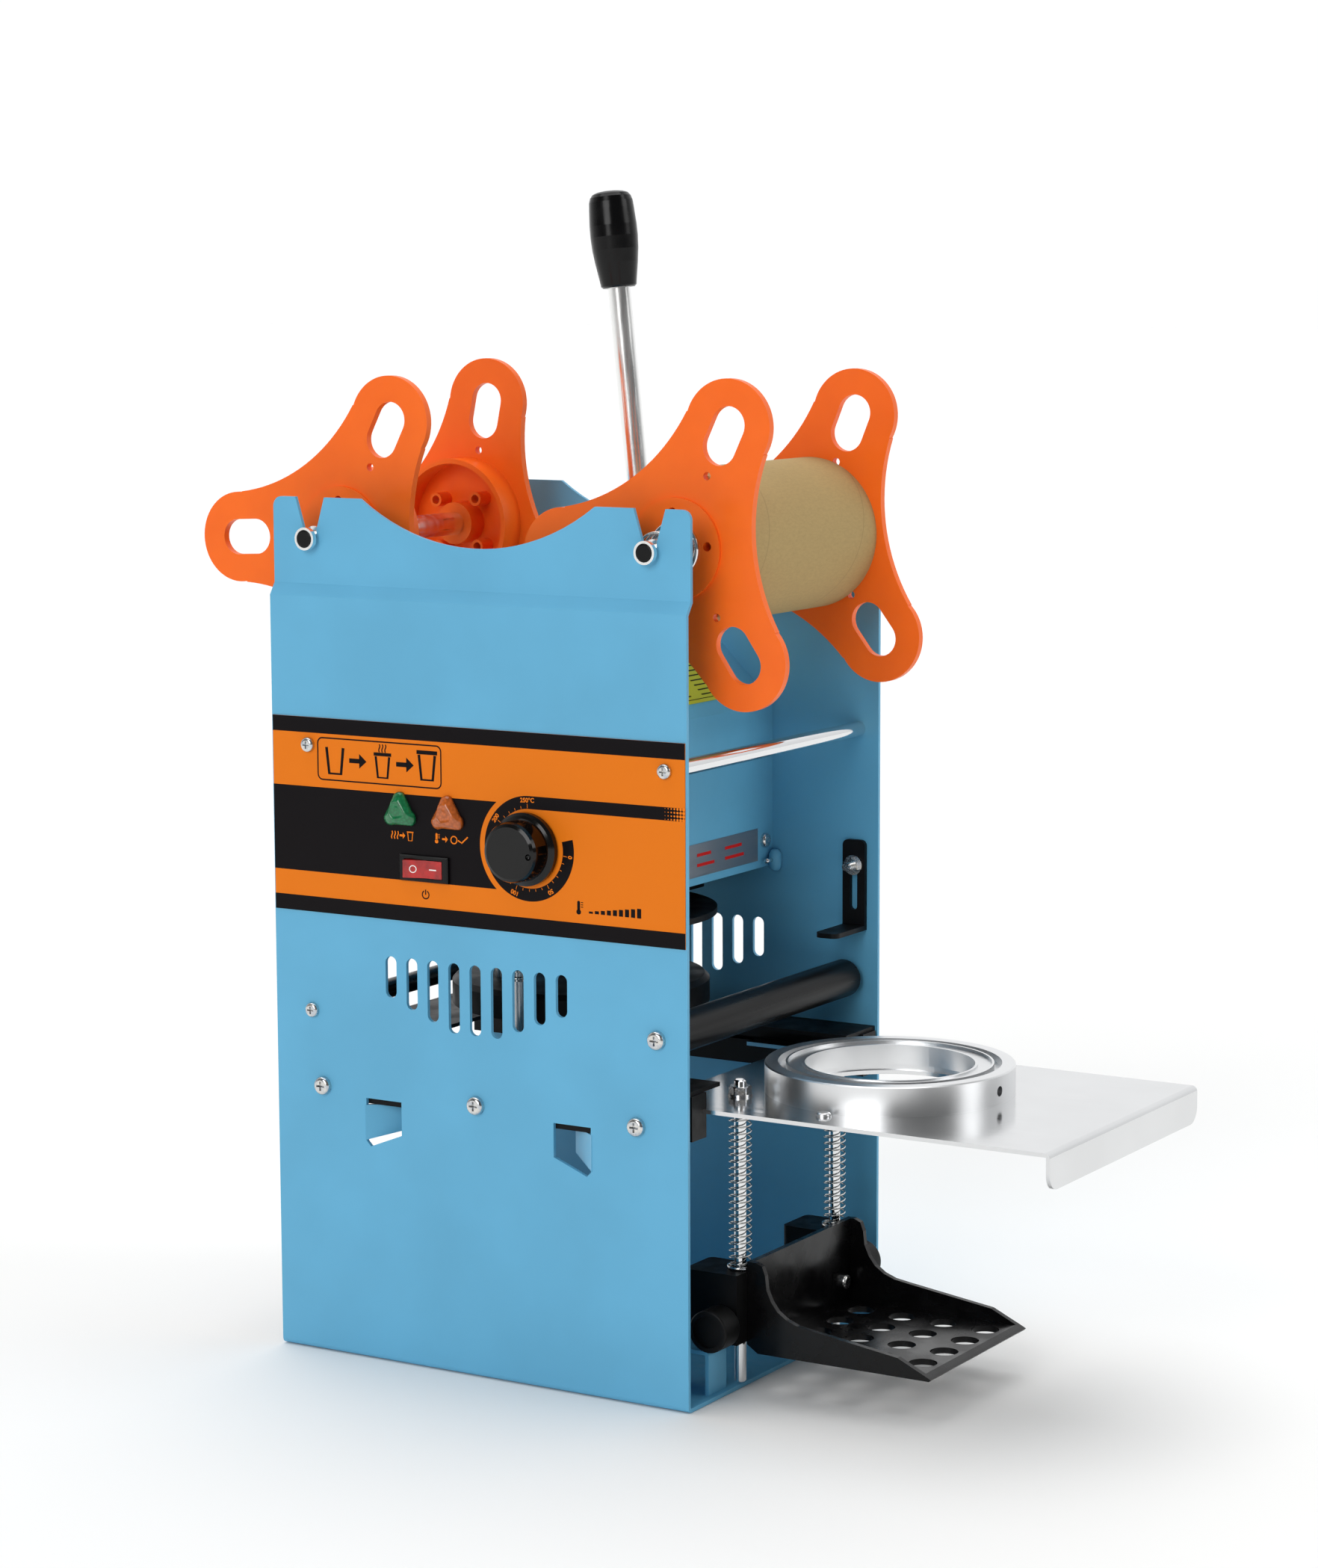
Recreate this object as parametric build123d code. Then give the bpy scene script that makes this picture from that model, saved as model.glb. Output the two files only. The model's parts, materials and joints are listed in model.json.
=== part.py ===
"""Hand-operated cup sealing machine: bent-sheet chassis, sliding die drawer, lever press and two film reels.

Frame: millimetres, +Z up, front (drawer side) towards -Y, control panel on the -X side plate.
Origin: centre of the chassis underside.
"""
import math
import os

from build123d import *

# ---------------------------------------------------------------- chassis (one bent sheet)
WIDTH = 194.0            # outside, across the side plates
DEPTH = 243.0            # front edge to rear edge of the side plates
HEIGHT = 435.0           # underside to the tops of the side plates
SHEET = 2.0              # chassis sheet
BEND_R = 3.0             # outer bend radius at the floor edges
JOG = 4.0                # inward joggle of the upper side plates
JOG_Z = 392.0            # top of the joggle
JOG_RISE = 6.0           # height over which the sheet steps in
TOP_SAG = 22.4           # depth of the hollow between the reel posts
TOP_CHORD = 137.0        # its width at the top edge
POST_CORNER_R = 5.0
# reel axes and their notches
REEL_Y = 99.0            # reel axes, in front of and behind the middle
REEL_Z = 414.5
NOTCH_W = 8.0
NOTCH_MOUTH = 18.3
NOTCH_STRAIGHT = 4.5     # height of the parallel part above the reel axis
# vent slots
VENT_COUNT = 9
VENT_PITCH = 12.6
VENT_W = 6.6
VENT_TOP = 208.3
VENT_LENGTHS = (21.0, 26.0, 30.8, 35.3, 35.3, 35.3, 30.8, 26.0, 21.0)
# windows with a tab left hinged on one edge
TAB_WINDOW = 21.5        # length along Y
TAB_HINGE_Y = 66.7       # hinge edge from the middle
TAB_TOP_Z = 134.6
TAB_LOW_HINGE = 110.0
TAB_LOW_FREE = 117.5
TAB_ANGLE = 37.0         # bend of the tab, degrees
TAB_GAP = 0.5            # tab top below the slide bed's side flange

# ---------------------------------------------------------------- control panel
PANEL_Z0 = 227.0
PANEL_Z1 = 325.5
PANEL_T = 0.5
PANEL_INSET = 0.7        # overlay edge to plate edge
KNOB_Y = -31.7
KNOB_Z = 268.8
KNOB_D = 36.0
KNOB_H = 16.0
KNOB_GAP = 1.0           # knob skirt above the overlay
KNOB_ZERO = 6.0          # the mark at 0 points this far below the front direction
SPINDLE_D = 6.0
LAMP_Z = 282.3
LAMP_YS = (42.8, 14.5)
LAMP_W = 18.5
LAMP_H = 17.0
LAMP_CORNER = 4.0
LAMP_OUT = 4.6
LAMP_BODY_D = 12.0
LAMP_BODY_L = 24.0
SWITCH_Y = 28.6
SWITCH_Z = 254.2
SWITCH_W = 29.0
SWITCH_H = 13.0
SWITCH_RIM = 2.0
SWITCH_BODY_L = 20.0
SWITCH_ROCK = 9.0        # rocker tilt each side of level, degrees
THERMO_W = 22.0
THERMO_H = 30.0
THERMO_L = 26.0

# ---------------------------------------------------------------- slide bed and rails
BED_Z = 157.0            # top of the bed sheet
BED_T = 2.0
BED_STRIP = 31.0         # width of each side strip
BED_BACK_Y = 72.0        # front edge of the rear cross strip
BED_SKIRT_Z = 131.5      # lower edge of the side flanges
BED_INSET = 1.5          # bed ends inside the side plate edges
RAIL_W = 13.5
RAIL_Z0 = 133.0
RUN = 0.05               # running clearance, each side

# ---------------------------------------------------------------- drawer with the cup die
DRAWER_OUT = 179.0       # die centre in front of the press centre when pulled out
RAIL_BACK = 9.0          # rail wall beside the drawer's edge
DRAWER_T = 2.0
DRAWER_Z = 147.5         # top of the drawer plate
DRAWER_FRONT = 126.5     # die centre to the front lip
DRAWER_REAR = 90.0       # die centre to the rear edge
ARM_L = 29.0             # side arms beyond the rear edge
ARM_W = 18.0
LIP_H = 18.0
LIP_CORNER_R = 8.0
LIP_BEND_R = 3.0
CUP_HOLE_D = 92.0
DIE_OD = 123.0
DIE_H = 14.5
DIE_SEAT_D = 100.0       # bore that takes the loose insert
DIE_LEDGE_D = 95.0
DIE_LEDGE_H = 4.0
GROOVE_OD = 109.6        # knife groove
GROOVE_ID = 102.0
GROOVE_DEEP = 3.5
INSERT_BORE = 83.4
INSERT_LIP = 1.3
INSERT_RECESS = 1.4
INSERT_FIT = 0.05
GRUB_D = 5.0             # set screw hole in the ring's front
GRUB_DEEP = 8.0
GRUB_RISE = 6.6
GRUB_TURN = -93.0        # its direction from +X, degrees
RIVET_GAP = 6.0          # rivet axis outside the die ring
RIVET_D = 7.5
ROD_D = 6.0
ROD_X = 48.0
ROD_BACK = 4.5           # rod axis in front of the die ring's rear edge
ROD_END_Z = 4.0
ROD_TOP_Z = 155.5
ROD_NUT_W = 10.0
ROD_NUT_H = 5.0
NUT_FLANGE_D = 12.0
NUT_FLANGE_T = 1.2

# ---------------------------------------------------------------- cup tray on the rods
TRAY_W = 104.0
TRAY_FLOOR_Z = 23.5
TRAY_T = 3.0
TRAY_LEN = 101.0         # rear face to front edge
TRAY_WALL_H = 42.5       # back wall above the floor
TRAY_SIDE_H = 10.0       # side walls at the scoop
TRAY_HOLE_D = 14.0
TRAY_HOLE_PITCH_X = 22.4
TRAY_HOLE_PITCH_Y = 23.3
TRAY_HOLES = 4
TRAY_HOLE_Y0 = 17.5      # first row from the rear face
BLOCK_W = 26.0
BLOCK_L = 30.0
BLOCK_Z0 = 26.0
BLOCK_H = 35.0
BLOCK_WALL = 6.0         # rod axis behind the block's front face
BLOCK_IN = 12.0          # rod axis to the block's inner face
CLAMP_Z = 36.4
CLAMP_D = 21.0
CLAMP_H = 14.0
CLAMP_GAP = 4.0
CLAMP_STUD_D = 6.0
TRAY_SCREW_X = 42.0
TRAY_SCREW_Z = 48.0
TRAY_LIFT = 60.0         # highest position of the tray above its lowest

SPRING_WIRE = 0.8        # springs on the rods
SPRING_OD = 11.5
SPRING_TURNS = 26

# ---------------------------------------------------------------- lever and rack drive
LEVER_Y = 20.0
LEVER_Z = 300.0
SHAFT_D = 12.0
TEETH = 14
MODULE = 1.5
PINION_W = 20.0
RACK_ADDENDUM = 1.2
RACK_DEDENDUM = 1.9
BACKLASH = 0.12
HUB_D = 26.0
HUB_L = 24.0
HUB_GAP = 2.0            # bush flange to hub
ARM_D = 12.0
ARM_LEN = 238.4          # pivot to the lower end of the grip
GRIP_D = 25.4
GRIP_L = 51.0
ARM_LEAN = 6.2           # lean towards the rear, degrees
BUSH_D = 18.0
BUSH_FLANGE_D = 22.0
BUSH_FLANGE_T = 3.0
BUSH_IN = 8.0

# ---------------------------------------------------------------- press head
HEAD_TRAVEL = 13.3
HOUSING_D = 132.0
HOUSING_Z0 = 175.5
HOUSING_H = 14.0
HOUSING_WALL = 6.0
HOUSING_TOP_T = 4.0
SHIELD_D = 140.0
SHIELD_T = 3.0
CROSS_Z0 = 224.0
CROSS_H = 18.0
CROSS_Y0 = -24.0
CROSS_Y1 = 12.0
CROSS_END_GAP = 7.0      # crosshead end to the side plate
POST_D = 10.0
POST_R = 40.0
HEATER_D = 97.0
HEATER_DROP = 0.5        # heater face above the housing rim
KNIFE_D = 105.6
KNIFE_T = 1.2
KNIFE_OUT = 1.8          # blade below the housing rim
KNIFE_FLANGE = 3.0
COLUMN_INSET = 19.0      # column axis inside the side plate
COLUMN_Y = -12.0
COLUMN_D = 8.0
COLUMN_FOOT_D = 12.0
COLUMN_FOOT_H = 42.0
RAM_W = 20.0
RAM_BACK = 8.4
RAM_TOP_Z = 329.0
BRIDGE_Z = 262.0
BRIDGE_T = 6.0
BRIDGE_Y0 = -20.0
BRIDGE_Y1 = 38.0
RETURN_WIRE = 1.2
RETURN_TURNS = 6
RETURN_MEAN_R = 4.95

# ---------------------------------------------------------------- hood over the drive
HOOD_T = 1.2
HOOD_Y = 59.0            # front and rear faces from the middle
HOOD_Z0 = 237.0
HOOD_REAR_Z0 = 229.0
HOOD_SHOULDER_Z = 322.0
HOOD_SLOPE = 38.0        # rise of the 45 degree faces
HOOD_LIP = 7.0
LABEL_T = 0.3
LABEL_W = 158.0
LABEL_H = 17.0
LABEL_Z = 249.5
STICKER_W = 150.0
STICKER_H = 36.0
HOOD_SCREW_X = 86.0
HOOD_SCREW_Z = 251.0

# ---------------------------------------------------------------- film rods, rollers and reels
FRONT_ROD_Y = -109.9
REAR_ROD_Y = 98.7
TOP_ROD_Z = 311.6
FILM_ROD_D = 8.0
REAR_BAR_Y = 98.9
REAR_BAR_Z = 176.6
REAR_BAR_D = 10.0
GUIDE_Y = -104.6
GUIDE_Z = 181.7
GUIDE_D = 19.6
GUIDE_SPINDLE_D = 8.0
GUIDE_END_GAP = 3.0
REEL_SHAFT_D = 12.0
REEL_END_D = 11.4
REEL_END_OUT = 5.2       # shaft end beyond the joggled plate
REEL_PLUG_D = 9.0
FLANGE_T = 4.0
LOBE_R = 23.0
LOBE_C = 64.5            # reel axis to lobe centre
WAIST = 41.5             # reel axis to the hollow between two lobes
FLANGE_SLOT_W = 18.0
FLANGE_SLOT_L = 29.3
FLANGE_SLOT_R = 60.0
FLANGE_PIN_R = 38.8
FLANGE_PIN_D = 4.0
FLANGE_HUB_D = 49.0
FLANGE_HUB_T = 1.5
SPIGOT_OD = 68.0
SPIGOT_WALL = 2.5
SPIGOT_L = 15.0
BOSS_D = 22.0
BOSS_L = 12.0
PEG_R = 17.6
PEG_D = 7.2
PEG_HOLE_D = 4.5
FRONT_FLANGE_X = (-68.0, 63.0)
FRONT_FLANGE_TURN = (115.6, 112.5)
REAR_FLANGE_X = (-66.0, 46.0)
REAR_FLANGE_TURN = (117.4, 101.6)
CORE_OD = 76.0
CUP_D = 27.2
CUP_T = 2.0
REEL_SPRING_OD = 19.0
REEL_SPRING_WIRE = 1.3
REEL_SPRING_TURNS = 3.5

# ---------------------------------------------------------------- screws and small brackets
M5_HEAD_D = 9.5
M5_HEAD_H = 3.2
M5_D = 5.0
M5_L = 14.0
M4_HEAD_D = 7.6
M4_HEAD_H = 2.6
M4_D = 4.0
M4_L = 12.0
BED_SCREW_Y = 93.0
BED_SCREW_Z = 138.2
STOP_Y = -108.6
STOP_Z0 = 207.0
STOP_H = 47.0
STOP_W = 13.0
STOP_T = 2.5
STOP_FOOT = 33.0
STOP_BOLT_Z = 240.9
STOP_SLOT_W = 4.2
FOOT_BRACKET_X0 = -72.0
FOOT_BRACKET_W = 17.0
FOOT_BRACKET_H = 22.0
FOOT_BRACKET_L = 25.0
FOOT_BRACKET_Y = -118.0
GLAND_Y = 92.0
GLAND_Z = 40.0
GLAND_D = 12.0

# ---------------------------------------------------------------- derived places
HALF_W = WIDTH / 2
HALF_D = DEPTH / 2
INNER = HALF_W - SHEET               # inner face of the side plates
DRAWER_W = 2 * (INNER - BED_T - RAIL_BACK)
COLUMN_X = INNER - COLUMN_INSET
RIVET_X = DIE_OD / 2 + RIVET_GAP
ROD_Y = DIE_OD / 2 - ROD_BACK        # rod axis behind the die centre
TOP_OUTER = HALF_W - JOG             # outer face above the joggle
TOP_INNER = TOP_OUTER - SHEET
FACE = HALF_W + PANEL_T              # outer face of the panel overlay
DIE_Y = -DRAWER_OUT
ROD_WORLD_Y = DIE_Y + ROD_Y
BLOCK_FRONT = ROD_WORLD_Y - BLOCK_WALL
PITCH_R = TEETH * MODULE / 2
RACK_LINE = LEVER_Y - PITCH_R
HOUSING_Z1 = HOUSING_Z0 + HOUSING_H
DRAWER_LOW = DRAWER_Z - DRAWER_T


# ================================================================= helpers
def box(x0, x1, y0, y1, z0, z1):
    """Axis-aligned block between two corners."""
    centre = ((x0 + x1) / 2, (y0 + y1) / 2, (z0 + z1) / 2)
    return Pos(*centre) * Box(abs(x1 - x0), abs(y1 - y0), abs(z1 - z0))


def rod_x(y, z, d, x0, x1):
    """Round bar along X."""
    return Pos((x0 + x1) / 2, y, z) * Rot(0, 90, 0) * Cylinder(d / 2, abs(x1 - x0))


def rod_y(x, z, d, y0, y1):
    """Round bar along Y."""
    return Pos(x, (y0 + y1) / 2, z) * Rot(90, 0, 0) * Cylinder(d / 2, abs(y1 - y0))


def rod_z(x, y, d, z0, z1):
    """Round bar along Z."""
    return Pos(x, y, (z0 + z1) / 2) * Cylinder(d / 2, abs(z1 - z0))


def prism_x(points, x0, x1):
    """Polygon in (y, z) pushed along X."""
    face = make_face(Polyline([(x0, y, z) for y, z in points], close=True))
    return extrude(face, amount=x1 - x0, dir=(1, 0, 0))


def prism_y(points, y0, y1):
    """Polygon in (x, z) pushed along Y."""
    face = make_face(Polyline([(x, y0, z) for x, z in points], close=True))
    return extrude(face, amount=y1 - y0, dir=(0, 1, 0))


def prism_z(points, z0, z1):
    """Polygon in (x, y) pushed along Z."""
    face = make_face(Polyline([(x, y, z0) for x, y in points], close=True))
    return extrude(face, amount=z1 - z0, dir=(0, 0, 1))


def turned(points, x, y):
    """Closed (radius, z) outline turned about the upright axis through (x, y)."""
    face = make_face(Polyline([(x + r, y, z) for r, z in points], close=True))
    return revolve(face, Axis((x, y, 0), (0, 0, 1)), 360)


def mirrored(shape):
    """The same piece on the other side of the machine."""
    return mirror(shape, about=Plane.YZ)


def solids_of(*shapes):
    """Flat list of the solids in the given shapes."""
    out = []
    for shape in shapes:
        out.extend(shape.solids())
    return out


def save(name, *shapes):
    """Write one node, made of one or more solids."""
    parts = solids_of(*shapes)
    node = parts[0] if len(parts) == 1 else Compound(children=parts)
    export_step(node, f"parts/{name}.step")


def spring(x, y, z0, z1, mean_r, wire, turns):
    """Round-wire compression spring standing along Z, touching z0 and z1."""
    length = z1 - z0 - wire
    path = Helix(length / turns, length, mean_r, center=(x, y, z0 + wire / 2))
    start = path @ 0
    face = Plane(origin=start, z_dir=path % 0) * Circle(wire / 2)
    return sweep(face, path=path, is_frenet=True)


def pan_screw(face_x, y, z, side, head_d, head_h, d, length):
    """Cross-recess pan head screw in a side plate, head outside; side is -1 or +1."""
    out = face_x + side * head_h
    head = rod_x(y, z, head_d, face_x, out)
    rim = head.edges().filter_by(GeomType.CIRCLE).sort_by(Axis.X)[-1 if side > 0 else 0]
    head = fillet(rim, head_h * 0.62)
    body = head + rod_x(y, z, d, face_x - side * length, face_x)
    cross_l = head_d * 0.5
    cross_w = head_d * 0.11
    deep = head_h * 0.55
    body -= box(out - side * deep, out + side, y - cross_l / 2, y + cross_l / 2, z - cross_w / 2, z + cross_w / 2)
    body -= box(out - side * deep, out + side, y - cross_w / 2, y + cross_w / 2, z - cross_l / 2, z + cross_l / 2)
    return body


# ================================================================= chassis
def top_outline():
    """Side silhouette of the chassis in (y, z), as a face in the plane x = 0."""
    notch_half = NOTCH_W / 2
    mouth = NOTCH_MOUTH / 2
    straight_z = REEL_Z + NOTCH_STRAIGHT
    half_chord = TOP_CHORD / 2
    sheet = box(-HALF_W - 5, HALF_W + 5, -HALF_D, HALF_D, -5, HEIGHT)
    for edge_y in (-HALF_D, HALF_D):
        corner = [e for e in sheet.edges().filter_by(Axis.X)
                  if abs(e.center().Y - edge_y) < 0.01 and e.center().Z > HEIGHT - 1]
        sheet = fillet(corner, POST_CORNER_R)
    radius = (half_chord ** 2 + TOP_SAG ** 2) / (2 * TOP_SAG)
    sheet -= rod_x(0, HEIGHT - TOP_SAG + radius, 2 * radius, -WIDTH, WIDTH)
    for y in (-REEL_Y, REEL_Y):
        sheet -= prism_x([(y - notch_half, straight_z), (y + notch_half, straight_z),
                          (y + mouth, HEIGHT + 1), (y - mouth, HEIGHT + 1)], -WIDTH, WIDTH)
        sheet -= box(-WIDTH, WIDTH, y - notch_half, y + notch_half, REEL_Z, straight_z + 0.01)
        sheet -= rod_x(y, REEL_Z, NOTCH_W, -WIDTH, WIDTH)
    return sheet


def window_tools(side):
    """Cutters for the two tab windows of one side plate, and the bent tabs."""
    cutters = []
    tabs = []
    x_in = side * INNER
    x_out = side * HALF_W
    for end in (-1, 1):
        hinge = end * TAB_HINGE_Y
        free = end * (TAB_HINGE_Y - TAB_WINDOW)
        outline = [(hinge, TAB_TOP_Z), (free, TAB_TOP_Z), (free, TAB_LOW_FREE),
                   (hinge - end * 2.5, TAB_LOW_HINGE), (hinge, TAB_LOW_HINGE + 2.5)]
        cutters.append(prism_x(outline, min(x_in, x_out) - 1, max(x_in, x_out) + 1))
        tab_top = BED_SKIRT_Z - TAB_GAP
        flap = prism_x([(hinge + end * 0.6, tab_top), (free + end * 0.6, tab_top),
                        (free + end * 0.6, TAB_LOW_FREE + 0.4), (hinge + end * 0.6, TAB_LOW_HINGE + 3)],
                       min(x_in, x_out), max(x_in, x_out))
        axis = Axis((x_out, hinge, 0), (0, 0, 1))
        tabs.append(flap.rotate(axis, -side * end * TAB_ANGLE))
    return cutters, tabs


def chassis():
    z_low = JOG_Z - JOG_RISE
    run = SHEET * 0.3
    outline = [(-TOP_OUTER, HEIGHT), (-TOP_OUTER, JOG_Z), (-HALF_W, z_low), (-HALF_W, 0),
               (HALF_W, 0), (HALF_W, z_low), (TOP_OUTER, JOG_Z), (TOP_OUTER, HEIGHT),
               (TOP_INNER, HEIGHT), (TOP_INNER, JOG_Z - run), (INNER, z_low - run), (INNER, SHEET),
               (-INNER, SHEET), (-INNER, z_low - run), (-TOP_INNER, JOG_Z - run), (-TOP_INNER, HEIGHT)]
    body = prism_y(outline, -HALF_D, HALF_D)
    floor_edges = [e for e in body.edges().filter_by(Axis.Y) if abs(e.center().Z) < 0.01]
    body = fillet(floor_edges, BEND_R)
    inner_edges = [e for e in body.edges().filter_by(Axis.Y)
                   if abs(e.center().Z - SHEET) < 0.01 and abs(abs(e.center().X) - INNER) < 0.01]
    body = fillet(inner_edges, BEND_R - SHEET)
    body &= top_outline()
    for i, length in enumerate(VENT_LENGTHS):
        y = (i - (VENT_COUNT - 1) / 2) * VENT_PITCH
        body -= box(-WIDTH, WIDTH, y - VENT_W / 2, y + VENT_W / 2, VENT_TOP - length + VENT_W / 2, VENT_TOP - VENT_W / 2)
        body -= rod_x(y, VENT_TOP - VENT_W / 2, VENT_W, -WIDTH, WIDTH)
        body -= rod_x(y, VENT_TOP - length + VENT_W / 2, VENT_W, -WIDTH, WIDTH)
    for side in (-1, 1):
        cutters, tabs = window_tools(side)
        for cutter in cutters:
            body -= cutter
        for tab in tabs:
            body += tab
    for y, z, d in screw_holes():
        body -= rod_x(y, z, d, -WIDTH, WIDTH)
    for y, z in panel_holes_round():
        body -= rod_x(y, z, LAMP_BODY_D, -WIDTH, 0)
    body -= rod_x(KNOB_Y, KNOB_Z, SPINDLE_D, -WIDTH, 0)
    body -= switch_cut()
    body -= rod_x(LEVER_Y, LEVER_Z, BUSH_D, 0, WIDTH)
    body -= rod_x(STOP_Y, STOP_BOLT_Z, M4_D, 0, WIDTH)
    body -= rod_x(GLAND_Y, GLAND_Z, GLAND_D, 0, WIDTH)
    return body


def screw_holes():
    """(y, z, diameter) of the screws that pass through both side plates."""
    holes = [(y, BED_SCREW_Z, M5_D) for y in (-BED_SCREW_Y, 0, BED_SCREW_Y)]
    holes.append((GUIDE_Y, GUIDE_Z, M5_D))
    holes.append((REAR_BAR_Y, REAR_BAR_Z, M4_D))
    holes.append((FRONT_ROD_Y, TOP_ROD_Z, M4_D))
    holes.append((REAR_ROD_Y, TOP_ROD_Z, M4_D))
    return holes


def panel_holes_round():
    return [(y, LAMP_Z) for y in LAMP_YS]


def switch_cut():
    """Opening for the switch body through plate and overlay."""
    w = SWITCH_W - 4
    h = SWITCH_H - 1.6
    return box(-WIDTH, 0, SWITCH_Y - w / 2, SWITCH_Y + w / 2, SWITCH_Z - h / 2, SWITCH_Z + h / 2)


# ================================================================= slide bed, rails
def slide_bed():
    y0 = -HALF_D + BED_INSET
    y1 = HALF_D - BED_INSET
    strip = INNER - BED_STRIP
    sheet = box(-INNER, INNER, y0, y1, BED_Z - BED_T, BED_Z)
    sheet -= box(-strip, strip, y0 - 1, BED_BACK_Y, BED_Z - BED_T - 1, BED_Z + 1)
    inner_corners = [e for e in sheet.edges().filter_by(Axis.Z) if abs(e.center().Y - BED_BACK_Y) < 0.01]
    sheet = fillet(inner_corners, 6)
    for side in (-1, 1):
        a = side * INNER
        b = side * (INNER - BED_T)
        sheet += box(min(a, b), max(a, b), y0, y1, BED_SKIRT_Z, BED_Z - BED_T)
    for y in (-BED_SCREW_Y, 0, BED_SCREW_Y):
        sheet -= rod_x(y, BED_SCREW_Z, M5_D, -WIDTH, WIDTH)
    return sheet


def rails():
    outer = INNER - BED_T
    inner = outer - RAIL_W
    slot = DRAWER_W / 2 + RUN
    bar = box(inner, outer, -HALF_D, HALF_D - 1, RAIL_Z0, BED_Z - BED_T)
    bar -= box(inner - 1, slot, -HALF_D - 1, HALF_D, DRAWER_LOW - RUN, DRAWER_Z + RUN)
    for y in (-BED_SCREW_Y, 0, BED_SCREW_Y):
        bar -= rod_x(y, BED_SCREW_Z, M5_D, HALF_W - M5_L, WIDTH)
    return [bar, mirrored(bar)]


# ================================================================= drawer
def drawer_plate():
    y_front = DIE_Y - DRAWER_FRONT
    y_rear = DIE_Y + DRAWER_REAR
    half = DRAWER_W / 2
    plate = box(-half, half, y_front, y_rear, DRAWER_LOW, DRAWER_Z)
    lip = box(-half, half, y_front, y_front + DRAWER_T, DRAWER_Z - LIP_H, DRAWER_Z)
    low = [e for e in lip.edges().filter_by(Axis.Y) if e.center().Z < DRAWER_Z - LIP_H + 0.1]
    lip = fillet(low, LIP_CORNER_R)
    plate += lip
    bend = [e for e in plate.edges().filter_by(Axis.X)
            if abs(e.center().Y - y_front) < 0.01 and abs(e.center().Z - DRAWER_Z) < 0.01]
    plate = fillet(bend, LIP_BEND_R)
    for side in (-1, 1):
        a = side * half
        b = side * (half - ARM_W)
        arm = box(min(a, b), max(a, b), y_rear - 1, y_rear + ARM_L, DRAWER_LOW, DRAWER_Z)
        plate += arm
    plate -= rod_z(0, DIE_Y, CUP_HOLE_D, DRAWER_LOW - 1, DRAWER_Z + 1)
    for x in (-ROD_X, ROD_X):
        plate -= rod_z(x, ROD_WORLD_Y, ROD_D, DRAWER_LOW - 1, DRAWER_Z + 1)
    for x in (-RIVET_X, RIVET_X):
        plate -= rod_z(x, DIE_Y, 3, DRAWER_LOW - 1, DRAWER_Z + 1)
    return plate


def die_ring():
    z0 = DRAWER_Z
    z1 = DRAWER_Z + DIE_H
    outer = DIE_OD / 2
    seat = DIE_SEAT_D / 2
    ledge = DIE_LEDGE_D / 2
    floor = z1 - GROOVE_DEEP
    outline = [(ledge, z0), (outer, z0), (outer, z1 - 0.6), (outer - 0.6, z1), (GROOVE_OD / 2, z1),
               (GROOVE_OD / 2, floor), (GROOVE_ID / 2, floor), (GROOVE_ID / 2, z1), (seat, z1),
               (seat, z0 + DIE_LEDGE_H), (ledge, z0 + DIE_LEDGE_H)]
    ring = turned(outline, 0, DIE_Y)
    grub = Pos(0, DIE_Y, z0 + GRUB_RISE) * Rot(0, 0, GRUB_TURN) * rod_x(0, 0, GRUB_D, outer - GRUB_DEEP, outer + 2)
    return ring - grub


def die_insert():
    z0 = DRAWER_Z + DIE_LEDGE_H
    z1 = DRAWER_Z + DIE_H
    outer = DIE_SEAT_D / 2 - INSERT_FIT
    bore = INSERT_BORE / 2
    seat_z = z1 - INSERT_RECESS
    outline = [(bore, z0), (outer, z0), (outer, seat_z), (bore + INSERT_LIP, seat_z),
               (bore + INSERT_LIP, z1 - 0.6), (bore, z1 - 0.6)]
    return turned(outline, 0, DIE_Y)


def rivets():
    out = []
    for x in (-RIVET_X, RIVET_X):
        head = rod_z(x, DIE_Y, RIVET_D, DRAWER_Z, DRAWER_Z + 2)
        rim = head.edges().filter_by(GeomType.CIRCLE).sort_by(Axis.Z)[-1]
        head = fillet(rim, 1.6)
        out.append(head + rod_z(x, DIE_Y, 3, DRAWER_LOW - 1, DRAWER_Z))
    return out


def guide_rods():
    out = []
    for x in (-ROD_X, ROD_X):
        rod = rod_z(x, ROD_WORLD_Y, ROD_D, ROD_END_Z, ROD_TOP_Z)
        out.append(chamfer(rod.edges().filter_by(GeomType.CIRCLE), 0.7))
    return out


def rod_nuts():
    """Flange nut above the plate on each rod."""
    out = []
    for x in (-ROD_X, ROD_X):
        flange = rod_z(x, ROD_WORLD_Y, NUT_FLANGE_D, DRAWER_Z, DRAWER_Z + NUT_FLANGE_T)
        hexagon = Pos(x, ROD_WORLD_Y, DRAWER_Z) * extrude(RegularPolygon(ROD_NUT_W / 2, 6, major_radius=False),
                                                        ROD_NUT_H)
        dome = rod_z(x, ROD_WORLD_Y, ROD_NUT_W * 1.12, DRAWER_Z, DRAWER_Z + ROD_NUT_H)
        top = dome.edges().filter_by(GeomType.CIRCLE).sort_by(Axis.Z)[-1]
        hexagon &= chamfer(top, 0.7)
        nut = flange + hexagon - rod_z(x, ROD_WORLD_Y, ROD_D, DRAWER_LOW, ROD_TOP_Z + 5)
        out.append(nut)
    return out


def rod_springs():
    mean = (SPRING_OD - SPRING_WIRE) / 2
    top = DRAWER_LOW
    low = BLOCK_Z0 + BLOCK_H
    one = spring(ROD_X, ROD_WORLD_Y, low, top, mean, SPRING_WIRE, SPRING_TURNS)
    return [one, mirrored(one)]


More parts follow.
